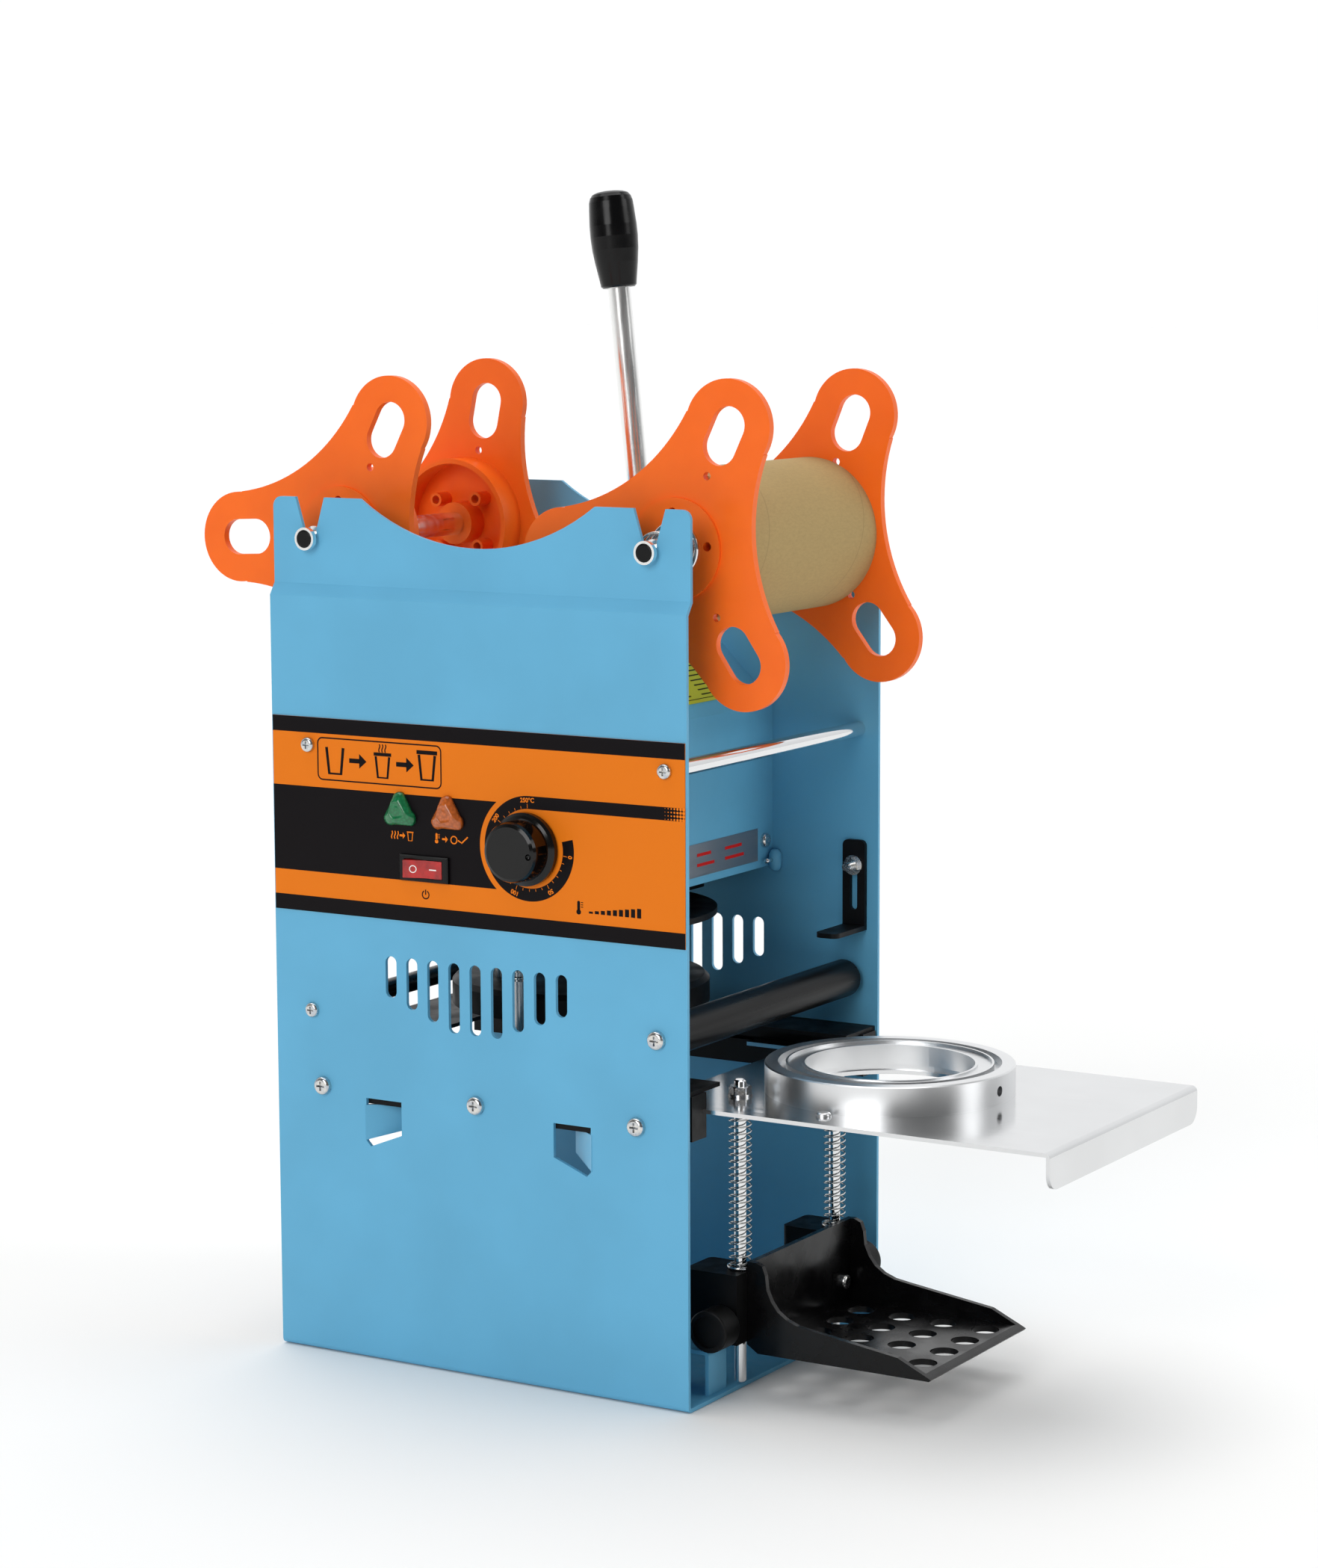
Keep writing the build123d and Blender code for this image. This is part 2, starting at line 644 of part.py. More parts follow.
# ================================================================= tray
def tray():
    back = BLOCK_FRONT
    front = back - TRAY_LEN
    half = TRAY_W / 2
    z0 = TRAY_FLOOR_Z - TRAY_T
    top = TRAY_FLOOR_Z + TRAY_WALL_H
    side_z = TRAY_FLOOR_Z + TRAY_SIDE_H
    outline = [(back, z0 + 4), (back, top), (back - 5, top), (back - 8.5, top - 1.5), (back - 10.2, top - 6),
               (back - 11, top - 13), (back - 13.5, top - 18.5), (back - 17, top - 23), (back - 22, top - 26.4),
               (back - 28, top - 28.6), (back - 36, top - 29.8), (front + 18, side_z - 3.6),
               (front + 1.5, TRAY_FLOOR_Z - 1.2), (front, z0 + 1), (front + 1, z0), (back - 6, z0)]
    scoop = prism_x(outline, -half, half)
    scoop -= box(-half + TRAY_T, half - TRAY_T, front - 1, back - TRAY_T, TRAY_FLOOR_Z, top + 1)
    x0 = -(TRAY_HOLES - 1) / 2 * TRAY_HOLE_PITCH_X
    for i in range(TRAY_HOLES):
        for j in range(TRAY_HOLES):
            x = x0 + i * TRAY_HOLE_PITCH_X
            y = back - TRAY_HOLE_Y0 - j * TRAY_HOLE_PITCH_Y
            scoop -= rod_z(x, y, TRAY_HOLE_D, z0 - 1, TRAY_FLOOR_Z + 1)
    for x in (-TRAY_SCREW_X, TRAY_SCREW_X):
        scoop -= rod_y(x, TRAY_SCREW_Z - 13.5, M4_D, back - TRAY_T - 1, back + 1)
    return scoop


def tray_blocks():
    x_in = ROD_X - BLOCK_IN
    x_out = x_in + BLOCK_W
    block = box(x_in, x_out, BLOCK_FRONT, BLOCK_FRONT + BLOCK_L, BLOCK_Z0, BLOCK_Z0 + BLOCK_H)
    upright = [e for e in block.edges().filter_by(Axis.Z) if e.center().Y > BLOCK_FRONT + 1]
    block = fillet(upright, 3)
    block -= rod_z(ROD_X, ROD_WORLD_Y, ROD_D + 2 * RUN, BLOCK_Z0 - 1, BLOCK_Z0 + BLOCK_H + 1)
    block -= rod_x(ROD_WORLD_Y, CLAMP_Z, CLAMP_STUD_D + 2 * RUN, ROD_X, x_out + 1)
    block -= rod_y(TRAY_SCREW_X - 2 * 0, TRAY_SCREW_Z - 13.5, M4_D, BLOCK_FRONT - 1, BLOCK_FRONT + 9)
    return [block, mirrored(block)]


def tray_screws():
    out = []
    inner = BLOCK_FRONT - TRAY_T
    z = TRAY_SCREW_Z - 13.5
    for x in (-TRAY_SCREW_X, TRAY_SCREW_X):
        head = rod_y(x, z, M4_HEAD_D, inner - M4_HEAD_H, inner)
        rim = head.edges().filter_by(GeomType.CIRCLE).sort_by(Axis.Y)[0]
        head = fillet(rim, M4_HEAD_H * 0.6)
        out.append(head + rod_y(x, z, M4_D, inner, BLOCK_FRONT + 8))
    return out


def clamp_knob(side):
    block_face = ROD_X - BLOCK_IN + BLOCK_W
    x0 = side * (block_face + CLAMP_GAP)
    x1 = side * (block_face + CLAMP_GAP + CLAMP_H)
    tip = side * (ROD_X + ROD_D / 2 + 0.2)
    knob = rod_x(ROD_WORLD_Y, CLAMP_Z, CLAMP_D, min(x0, x1), max(x0, x1))
    knob = fillet(knob.edges().filter_by(GeomType.CIRCLE), 1.0)
    knob -= rod_x(ROD_WORLD_Y, CLAMP_Z, CLAMP_D - 5, min(x1, x1 - side * 2), max(x1, x1 - side * 2))
    stud = rod_x(ROD_WORLD_Y, CLAMP_Z, CLAMP_STUD_D, min(tip, x0), max(tip, x0))
    return knob + stud


# ================================================================= lever drive
def involute(base_r, angle):
    """Point of an involute, as distance from the axis and polar angle."""
    return base_r * math.hypot(1, angle), angle - math.atan(angle)


def pinion():
    """Spur pinion on the lever shaft, one tooth gap facing the rack."""
    pressure = math.radians(20)
    base_r = PITCH_R * math.cos(pressure)
    tip_r = PITCH_R + MODULE
    root_r = PITCH_R - 1.25 * MODULE
    half_tooth = math.pi / 2 / TEETH - BACKLASH / 2 / PITCH_R + math.tan(pressure) - pressure
    tip_angle = math.sqrt((tip_r / base_r) ** 2 - 1)
    flank = [involute(base_r, tip_angle * k / 5) for k in range(6)]
    outline = []
    for i in range(TEETH):
        mid = math.pi + (i + 0.5) * 2 * math.pi / TEETH
        rise = [(root_r, mid - half_tooth)] + [(r, mid - half_tooth + a) for r, a in flank]
        fall = [(r, mid + half_tooth - a) for r, a in reversed(flank)] + [(root_r, mid + half_tooth)]
        for r, a in rise + fall:
            outline.append((LEVER_Y + r * math.cos(a), LEVER_Z + r * math.sin(a)))
    gear = prism_x(outline, -PINION_W / 2, PINION_W / 2)
    return gear - rod_x(LEVER_Y, LEVER_Z, SHAFT_D, -PINION_W, PINION_W)


def ram():
    """Square ram with rack teeth on its rear face, one tooth on the pinion's centre line."""
    root = RACK_LINE - RACK_DEDENDUM
    tip = RACK_LINE + RACK_ADDENDUM
    pitch = math.pi * MODULE
    slope = math.tan(math.radians(20))
    half = pitch / 4 - BACKLASH / 2
    body = box(-RAM_W / 2, RAM_W / 2, -RAM_BACK, root, CROSS_Z0 + CROSS_H, RAM_TOP_Z)
    for k in range(-2, 6):
        z = LEVER_Z + k * pitch
        wide = half + RACK_DEDENDUM * slope
        narrow = half - RACK_ADDENDUM * slope
        body += prism_x([(root - 0.01, z - wide), (tip, z - narrow), (tip, z + narrow), (root - 0.01, z + wide)],
                        -RAM_W / 2, RAM_W / 2)
    return body


def lever_shaft():
    far = HALF_W + BUSH_FLANGE_T + HUB_GAP + HUB_L
    near = -INNER + 2
    return rod_x(LEVER_Y, LEVER_Z, SHAFT_D, near, far)


def lever_bushes():
    bore = SHAFT_D + 2 * RUN
    near = rod_x(LEVER_Y, LEVER_Z, BUSH_FLANGE_D, -INNER, -INNER + BUSH_FLANGE_T)
    near += rod_x(LEVER_Y, LEVER_Z, BUSH_D, -INNER, -INNER + BUSH_IN)
    near -= rod_x(LEVER_Y, LEVER_Z, bore, -INNER + 1.5, 0)
    far = rod_x(LEVER_Y, LEVER_Z, BUSH_FLANGE_D, HALF_W, HALF_W + BUSH_FLANGE_T)
    far += rod_x(LEVER_Y, LEVER_Z, BUSH_D, INNER - BUSH_IN / 2, HALF_W)
    far -= rod_x(LEVER_Y, LEVER_Z, bore, 0, WIDTH)
    return [near, far]


def lever_arm():
    x0 = HALF_W + BUSH_FLANGE_T + HUB_GAP
    hub = rod_x(LEVER_Y, LEVER_Z, HUB_D, x0, x0 + HUB_L)
    hub = fillet(hub.edges().filter_by(GeomType.CIRCLE), 1.2)
    middle = Pos(x0 + HUB_L / 2, LEVER_Y, LEVER_Z) * Rot(-ARM_LEAN, 0, 0)
    arm = middle * Pos(0, 0, ARM_LEN / 2 + 4) * Cylinder(ARM_D / 2, ARM_LEN + 8)
    body = hub + arm
    return body - rod_x(LEVER_Y, LEVER_Z, SHAFT_D, x0 - 1, x0 + HUB_L + 1)


def lever_grip():
    x = HALF_W + BUSH_FLANGE_T + HUB_GAP + HUB_L / 2
    r = GRIP_D / 2
    top = ARM_LEN + GRIP_L
    outline = [(0, ARM_LEN), (r - 4.2, ARM_LEN), (r - 3.2, ARM_LEN + 0.9), (r - 2.9, ARM_LEN + 3),
               (r - 1.3, ARM_LEN + 13), (r - 0.4, ARM_LEN + 20), (r, ARM_LEN + 27), (r - 0.1, ARM_LEN + 33),
               (r - 0.7, top - 9), (r - 1.0, top - 5.5), (r - 1.8, top - 3), (r - 3.2, top - 1.3),
               (r - 5.4, top - 0.4), (r - 8, top), (0, top)]
    grip = turned(outline, 0, 0)
    grip -= Pos(0, 0, ARM_LEN + 4) * Cylinder(ARM_D / 2, 8)
    return Pos(x, LEVER_Y, LEVER_Z) * Rot(-ARM_LEAN, 0, 0) * grip


# ================================================================= press head
def seal_housing():
    outer = HOUSING_D / 2
    inner = outer - HOUSING_WALL
    outline = [(0, HOUSING_Z1 - HOUSING_TOP_T), (inner, HOUSING_Z1 - HOUSING_TOP_T), (inner, HOUSING_Z0),
               (outer, HOUSING_Z0), (outer, HOUSING_Z1 - 2.5), (outer - 2.5, HOUSING_Z1), (0, HOUSING_Z1)]
    return turned(outline, 0, 0)


def heater_plate():
    r = HEATER_D / 2
    z0 = HOUSING_Z0 + HEATER_DROP
    return turned([(0, z0), (r - 0.8, z0), (r, z0 + 0.8), (r, HOUSING_Z1 - HOUSING_TOP_T),
                   (0, HOUSING_Z1 - HOUSING_TOP_T)], 0, 0)


def knife_ring():
    mid = KNIFE_D / 2
    z1 = HOUSING_Z1 - HOUSING_TOP_T
    z0 = HOUSING_Z0 - KNIFE_OUT
    half = KNIFE_T / 2
    return turned([(mid - half, z0 + 0.8), (mid, z0), (mid + half, z0 + 0.8), (mid + half, z1 - 4),
                   (mid + KNIFE_FLANGE, z1 - 4), (mid + KNIFE_FLANGE, z1), (mid - KNIFE_FLANGE, z1),
                   (mid - KNIFE_FLANGE, z1 - 4), (mid - half, z1 - 4)], 0, 0)


def head_posts():
    out = []
    for k in range(4):
        a = math.radians(45 + 90 * k)
        out.append(rod_z(POST_R * math.cos(a), POST_R * math.sin(a), POST_D, HOUSING_Z1, CROSS_Z0 - SHIELD_T))
    return out


def shield_plate():
    return rod_z(0, 0, SHIELD_D, CROSS_Z0 - SHIELD_T, CROSS_Z0)


def crosshead():
    half = INNER - CROSS_END_GAP
    bar = box(-half, half, CROSS_Y0, CROSS_Y1, CROSS_Z0, CROSS_Z0 + CROSS_H)
    bar = fillet(bar.edges().filter_by(Axis.Z), 6)
    for x in (-COLUMN_X, COLUMN_X):
        bar -= rod_z(x, COLUMN_Y, COLUMN_D + 2 * RUN, CROSS_Z0 - 1, CROSS_Z0 + CROSS_H + 1)
    return bar


def guide_columns():
    foot_top = BED_Z + COLUMN_FOOT_H
    one = rod_z(COLUMN_X, COLUMN_Y, COLUMN_FOOT_D, BED_Z, foot_top)
    one += rod_z(COLUMN_X, COLUMN_Y, COLUMN_D, foot_top, BRIDGE_Z + BRIDGE_T + 3)
    return [one, mirrored(one)]


def bridge():
    plate = box(-INNER, INNER, BRIDGE_Y0, BRIDGE_Y1, BRIDGE_Z, BRIDGE_Z + BRIDGE_T)
    root = RACK_LINE - RACK_DEDENDUM
    plate -= box(-RAM_W / 2 - RUN, RAM_W / 2 + RUN, -RAM_BACK - RUN, root + RUN, BRIDGE_Z - 1, BRIDGE_Z + BRIDGE_T + 1)
    for x in (-COLUMN_X, COLUMN_X):
        plate -= rod_z(x, COLUMN_Y, COLUMN_D, BRIDGE_Z - 1, BRIDGE_Z + BRIDGE_T + 1)
    return plate


def return_springs():
    one = spring(COLUMN_X, COLUMN_Y, BED_Z + COLUMN_FOOT_H, CROSS_Z0, RETURN_MEAN_R, RETURN_WIRE, RETURN_TURNS)
    return [one, mirrored(one)]


# ================================================================= hood, labels
def hood():
    y = HOOD_Y
    t = HOOD_T
    z1 = HOOD_SHOULDER_Z
    z2 = HOOD_SHOULDER_Z + HOOD_SLOPE
    flat = y - HOOD_SLOPE
    run = t * math.tan(math.radians(22.5))
    outer = [(-y, HOOD_Z0), (-y, z1), (-flat, z2), (flat, z2), (y, z1), (y, HOOD_REAR_Z0)]
    inner = [(y - t, HOOD_REAR_Z0), (y - t, z1 - run), (flat - run, z2 - t), (-flat + run, z2 - t),
             (-y + t, z1 - run), (-y + t, HOOD_Z0 + t), (-y + HOOD_LIP, HOOD_Z0 + t), (-y + HOOD_LIP, HOOD_Z0)]
    shell = prism_x(outer + inner, -INNER, INNER)
    for x in (-HOOD_SCREW_X, HOOD_SCREW_X):
        shell -= rod_y(x, HOOD_SCREW_Z, M4_D, -y - 1, -y + 5)
    return shell


def hood_label():
    half = LABEL_W / 2
    return box(-half, half, -HOOD_Y - LABEL_T, -HOOD_Y, LABEL_Z - LABEL_H / 2, LABEL_Z + LABEL_H / 2)


def hood_sticker():
    """Instruction sheet on the sloping face."""
    c = HOOD_SLOPE / 2
    sheet = Pos(0, 0, LABEL_T / 2) * Box(STICKER_W, STICKER_H, LABEL_T)
    return Pos(0, -HOOD_Y + c, HOOD_SHOULDER_Z + c) * Rot(45, 0, 0) * sheet


def hood_screws():
    out = []
    for x in (-HOOD_SCREW_X, HOOD_SCREW_X):
        head = rod_y(x, HOOD_SCREW_Z, M4_HEAD_D, -HOOD_Y - M4_HEAD_H, -HOOD_Y)
        rim = head.edges().filter_by(GeomType.CIRCLE).sort_by(Axis.Y)[0]
        head = fillet(rim, M4_HEAD_H * 0.6)
        out.append(head + rod_y(x, HOOD_SCREW_Z, M4_D, -HOOD_Y, -HOOD_Y + 8))
    return out


# ================================================================= control panel pieces
def panel_overlay():
    y = HALF_D - PANEL_INSET
    sheet = box(-FACE, -HALF_W, -y, y, PANEL_Z0, PANEL_Z1)
    for yy, zz in panel_holes_round():
        sheet -= rod_x(yy, zz, LAMP_BODY_D, -WIDTH, 0)
    sheet -= rod_x(KNOB_Y, KNOB_Z, SPINDLE_D, -WIDTH, 0)
    for yy in (FRONT_ROD_Y, REAR_ROD_Y):
        sheet -= rod_x(yy, TOP_ROD_Z, M4_D, -WIDTH, 0)
    return sheet - switch_cut()


def lamp(y):
    """Pilot lamp: rounded triangular lens on a round body."""
    half = LAMP_W / 2 + LAMP_CORNER * 0.67
    low = LAMP_Z - LAMP_H * 0.45
    top = low + LAMP_H + LAMP_CORNER * 1.1
    lens = prism_x([(y - half, low), (y + half, low), (y, top)], -FACE - LAMP_OUT, -FACE)
    lens = fillet(lens.edges().filter_by(Axis.X), LAMP_CORNER)
    rim = lens.faces().sort_by(Axis.X)[0].edges()
    lens = fillet(rim, 1.4)
    return lens + rod_x(y, LAMP_Z, LAMP_BODY_D, -FACE, -FACE + LAMP_BODY_L)


def thermostat():
    body = box(-INNER, -INNER + THERMO_L, KNOB_Y - THERMO_W / 2, KNOB_Y + THERMO_W / 2,
               KNOB_Z - THERMO_H / 2, KNOB_Z + THERMO_H / 2)
    spindle = rod_x(KNOB_Y, KNOB_Z, SPINDLE_D, -FACE - KNOB_GAP - KNOB_H + 4, -INNER)
    return body + spindle


def temp_knob():
    x0 = -FACE - KNOB_GAP
    x1 = x0 - KNOB_H
    r = KNOB_D / 2
    outline = [(0, 0), (r, 0), (r, 2.6), (r - 1.3, 3.6), (r - 2.6, 4.4), (r - 3.2, KNOB_H - 2.4),
               (r - 3.9, KNOB_H - 0.8), (r - 5.4, KNOB_H), (0, KNOB_H)]
    knob = turned(outline, 0, 0)
    knob -= Pos(0, 0, (KNOB_H - 3.8) / 2) * Cylinder(SPINDLE_D / 2 + RUN, KNOB_H - 3.8)
    reach = r - 6.5
    zero = math.radians(KNOB_ZERO)
    knob -= Pos(-reach * math.sin(zero), -reach * math.cos(zero), KNOB_H + 0.2) * Sphere(1.6)
    return Pos(x0, KNOB_Y, KNOB_Z) * Rot(0, -90, 0) * knob


def switch_body():
    rim_out = -FACE - SWITCH_RIM
    w = SWITCH_W - 4
    h = SWITCH_H - 1.6
    rim = box(rim_out, -FACE, SWITCH_Y - SWITCH_W / 2, SWITCH_Y + SWITCH_W / 2,
              SWITCH_Z - SWITCH_H / 2, SWITCH_Z + SWITCH_H / 2)
    face = rim.faces().sort_by(Axis.X)[0].edges()
    rim = chamfer(face, 0.6)
    body = rim + box(-FACE, -FACE + SWITCH_BODY_L, SWITCH_Y - w / 2, SWITCH_Y + w / 2,
                     SWITCH_Z - h / 2, SWITCH_Z + h / 2)
    body -= box(rim_out - 1, rim_out + 8.5, SWITCH_Y - 11.4, SWITCH_Y + 11.4, SWITCH_Z - 4.7, SWITCH_Z + 4.7)
    body -= rod_z(rim_out + 2.5, SWITCH_Y, 2 + 2 * RUN, SWITCH_Z - 5.4, SWITCH_Z + 5.4)
    for y in (-5, 5):
        body += box(-FACE + SWITCH_BODY_L, -FACE + SWITCH_BODY_L + 7, SWITCH_Y + y - 2.4, SWITCH_Y + y + 2.4,
                    SWITCH_Z - 0.4, SWITCH_Z + 0.4)
    return body


def rocker():
    """Dished rocker on a cross pin, one end pressed in."""
    axis_x = -FACE - SWITCH_RIM + 2.5
    outline = [(3, -10.6), (-4.3, -10.6), (-2.6, 0), (-4.3, 10.6), (3, 10.6)]
    body = prism_z([(x, y) for x, y in outline], -4.4, 4.4)
    body += Cylinder(1, 10.6)
    return Pos(axis_x, SWITCH_Y, SWITCH_Z) * Rot(0, 0, SWITCH_ROCK) * body


# ================================================================= rods, rollers, reels
def film_rods():
    out = []
    for y in (FRONT_ROD_Y, REAR_ROD_Y):
        rod = rod_x(y, TOP_ROD_Z, FILM_ROD_D, -INNER, INNER)
        near = HALF_W - M4_L + PANEL_T
        rod -= rod_x(y, TOP_ROD_Z, M4_D, -INNER - 1, -near)
        rod -= rod_x(y, TOP_ROD_Z, M4_D, HALF_W - M4_L, INNER + 1)
        out.append(rod)
    return out


def rear_bar():
    bar = rod_x(REAR_BAR_Y, REAR_BAR_Z, REAR_BAR_D, -INNER, INNER)
    for side in (-1, 1):
        a = side * (HALF_W - M4_L)
        b = side * (INNER + 1)
        bar -= rod_x(REAR_BAR_Y, REAR_BAR_Z, M4_D, min(a, b), max(a, b))
    return bar


def guide_spindle():
    bar = rod_x(GUIDE_Y, GUIDE_Z, GUIDE_SPINDLE_D, -INNER, INNER)
    for side in (-1, 1):
        a = side * (HALF_W - M5_L)
        b = side * (INNER + 1)
        bar -= rod_x(GUIDE_Y, GUIDE_Z, M5_D, min(a, b), max(a, b))
    return bar


def guide_roller():
    half = INNER - GUIDE_END_GAP
    roller = rod_x(GUIDE_Y, GUIDE_Z, GUIDE_D, -half, half)
    roller = fillet(roller.edges().filter_by(GeomType.CIRCLE), 3)
    return roller - rod_x(GUIDE_Y, GUIDE_Z, GUIDE_SPINDLE_D + 2 * RUN, -WIDTH, WIDTH)


def flange(y, x_face, turn, outward):
    """Three-lobed reel flange. x_face is the face towards -X; outward is -1 or +1."""
    hollow_r = (WAIST ** 2 + LOBE_C ** 2 - LOBE_C * WAIST - LOBE_R ** 2) / (2 * LOBE_R - 2 * WAIST + LOBE_C)
    outline_r = LOBE_C * 1.02
    body = Cylinder(outline_r, FLANGE_T)
    hollow_c = WAIST + hollow_r
    tangent = hollow_r / (hollow_r + LOBE_R)
    wedge = []
    for k in range(3):
        a = math.radians(120 * k)
        body += Pos(LOBE_C * math.cos(a), LOBE_C * math.sin(a), 0) * Cylinder(LOBE_R, FLANGE_T)
        b = math.radians(120 * k + 60)
        wedge.append((hollow_c * math.cos(b), hollow_c * math.sin(b)))
    for k, (cx, cy) in enumerate(wedge):
        a0 = math.radians(120 * k)
        a1 = math.radians(120 * k + 120)
        p0 = (LOBE_C * math.cos(a0), LOBE_C * math.sin(a0))
        p1 = (LOBE_C * math.cos(a1), LOBE_C * math.sin(a1))
        t0 = (cx + (p0[0] - cx) * tangent, cy + (p0[1] - cy) * tangent)
        t1 = (cx + (p1[0] - cx) * tangent, cy + (p1[1] - cy) * tangent)
        bite = Pos(cx, cy, 0) * Cylinder(hollow_r, FLANGE_T + 2)
        bite &= prism_z([(0, 0), t0, (cx * 1.2, cy * 1.2), t1], -FLANGE_T, FLANGE_T)
        body -= bite
    for k in range(3):
        place = Rot(0, 0, 120 * k)
        run = FLANGE_SLOT_L - FLANGE_SLOT_W
        body -= place * Pos(FLANGE_SLOT_R, 0, 0) * Box(run, FLANGE_SLOT_W, FLANGE_T + 2)
        for end in (-1, 1):
            body -= place * Pos(FLANGE_SLOT_R + end * run / 2, 0, 0) * Cylinder(FLANGE_SLOT_W / 2, FLANGE_T + 2)
        body -= place * Pos(FLANGE_PIN_R, 0, 0) * Cylinder(FLANGE_PIN_D / 2, FLANGE_T + 2)
    body += Pos(0, 0, FLANGE_T / 2 + FLANGE_HUB_T / 2) * Cylinder(FLANGE_HUB_D / 2, FLANGE_HUB_T)
    spigot = Cylinder(SPIGOT_OD / 2, SPIGOT_L) - Cylinder(SPIGOT_OD / 2 - SPIGOT_WALL, SPIGOT_L)
    body += Pos(0, 0, -FLANGE_T / 2 - SPIGOT_L / 2) * spigot
    body += Pos(0, 0, -FLANGE_T / 2 - BOSS_L / 2) * Cylinder(BOSS_D / 2, BOSS_L)
    for k in range(4):
        a = math.radians(31 + 90 * k)
        x = PEG_R * math.cos(a)
        y2 = PEG_R * math.sin(a)
        body += Pos(x, y2, -FLANGE_T / 2 - 5) * Cylinder(PEG_D / 2, 10)
        body -= Pos(x, y2, 0) * Cylinder(PEG_HOLE_D / 2, 40)
    body -= Cylinder(REEL_SHAFT_D / 2, 60)
    to_axis = Rot(0, 90, 0) if outward > 0 else Rot(0, -90, 0) * Rot(0, 0, 180)
    face_x = x_face + FLANGE_T / 2
    spun = Rot(turn, 0, 0)
    upright = Rot(90, 0, 0)
    return Pos(face_x, y, REEL_Z) * spun * upright * to_axis * body


def reel_flanges(y, faces, turns):
    near = flange(y, faces[0], turns[0], -1)
    far = flange(y, faces[1], turns[1], 1)
    return [near, far]


def reel_shaft(y):
    end = TOP_OUTER + REEL_END_OUT
    neck0 = TOP_INNER - 1
    neck1 = TOP_OUTER + 2.5
    shaft = rod_x(y, REEL_Z, REEL_SHAFT_D, -neck0, neck0)
    shaft += rod_x(y, REEL_Z, NOTCH_W - 2 * RUN, -end, end)
    for side in (-1, 1):
        cap = rod_x(y, REEL_Z, REEL_END_D, min(side * neck1, side * end), max(side * neck1, side * end))
        shaft += cap
        deep = side * (end - 1.6)
        shaft -= rod_x(y, REEL_Z, REEL_PLUG_D, min(deep, side * (end + 1)), max(deep, side * (end + 1)))
    return shaft


def reel_plugs(y):
    end = TOP_OUTER + REEL_END_OUT
    out = []
    for side in (-1, 1):
        a = side * (end - 1.6)
        b = side * (end + 0.3)
        plug = rod_x(y, REEL_Z, REEL_PLUG_D, min(a, b), max(a, b))
        rim = plug.edges().filter_by(GeomType.CIRCLE).sort_by(Axis.X)[-1 if side > 0 else 0]
        out.append(fillet(rim, 0.8))
    return out


def reel_core():
    x0 = FRONT_FLANGE_X[0] + FLANGE_T
    x1 = FRONT_FLANGE_X[1]
    tube = rod_x(-REEL_Y, REEL_Z, CORE_OD, x0, x1)
    return tube - rod_x(-REEL_Y, REEL_Z, SPIGOT_OD, x0 - 1, x1 + 1)


def cup(y, x_hub, side):
    """Dished washer against a flange hub."""
    ring = rod_x(y, REEL_Z, CUP_D, min(x_hub, x_hub + side * CUP_T), max(x_hub, x_hub + side * CUP_T))
    rim = ring.edges().filter_by(GeomType.CIRCLE).sort_by(Axis.X)[-1 if side > 0 else 0]
    ring = fillet(rim, 1.2)
    return ring - rod_x(y, REEL_Z, REEL_SHAFT_D, -WIDTH, WIDTH)


def reel_cups():
    near = FRONT_FLANGE_X[0] - FLANGE_HUB_T
    far = FRONT_FLANGE_X[1] + FLANGE_T + FLANGE_HUB_T
    return [cup(-REEL_Y, near, -1), cup(-REEL_Y, far, 1)]


def reel_spring():
    x0 = -TOP_INNER + 0.5
    x1 = FRONT_FLANGE_X[0] - FLANGE_HUB_T - CUP_T
    mean = (REEL_SPRING_OD - REEL_SPRING_WIRE) / 2
    coil = spring(0, 0, 0, x1 - x0, mean, REEL_SPRING_WIRE, REEL_SPRING_TURNS)
    return Pos(x0, -REEL_Y, REEL_Z) * Rot(0, 90, 0) * coil


# ================================================================= screws, brackets
def plate_screws():
    out = []
    for side in (-1, 1):
        for y, z in [(-BED_SCREW_Y, BED_SCREW_Z), (0, BED_SCREW_Z), (BED_SCREW_Y, BED_SCREW_Z), (GUIDE_Y, GUIDE_Z)]:
            out.append(pan_screw(side * HALF_W, y, z, side, M5_HEAD_D, M5_HEAD_H, M5_D, M5_L))
    return out


def rod_screws():
    out = []
    for side in (-1, 1):
        top_face = -FACE if side < 0 else HALF_W
        out.append(pan_screw(side * HALF_W, REAR_BAR_Y, REAR_BAR_Z, side, M4_HEAD_D, M4_HEAD_H, M4_D, M4_L))
        for y in (FRONT_ROD_Y, REAR_ROD_Y):
            out.append(pan_screw(top_face, y, TOP_ROD_Z, side, M4_HEAD_D, M4_HEAD_H, M4_D, M4_L))
    return out


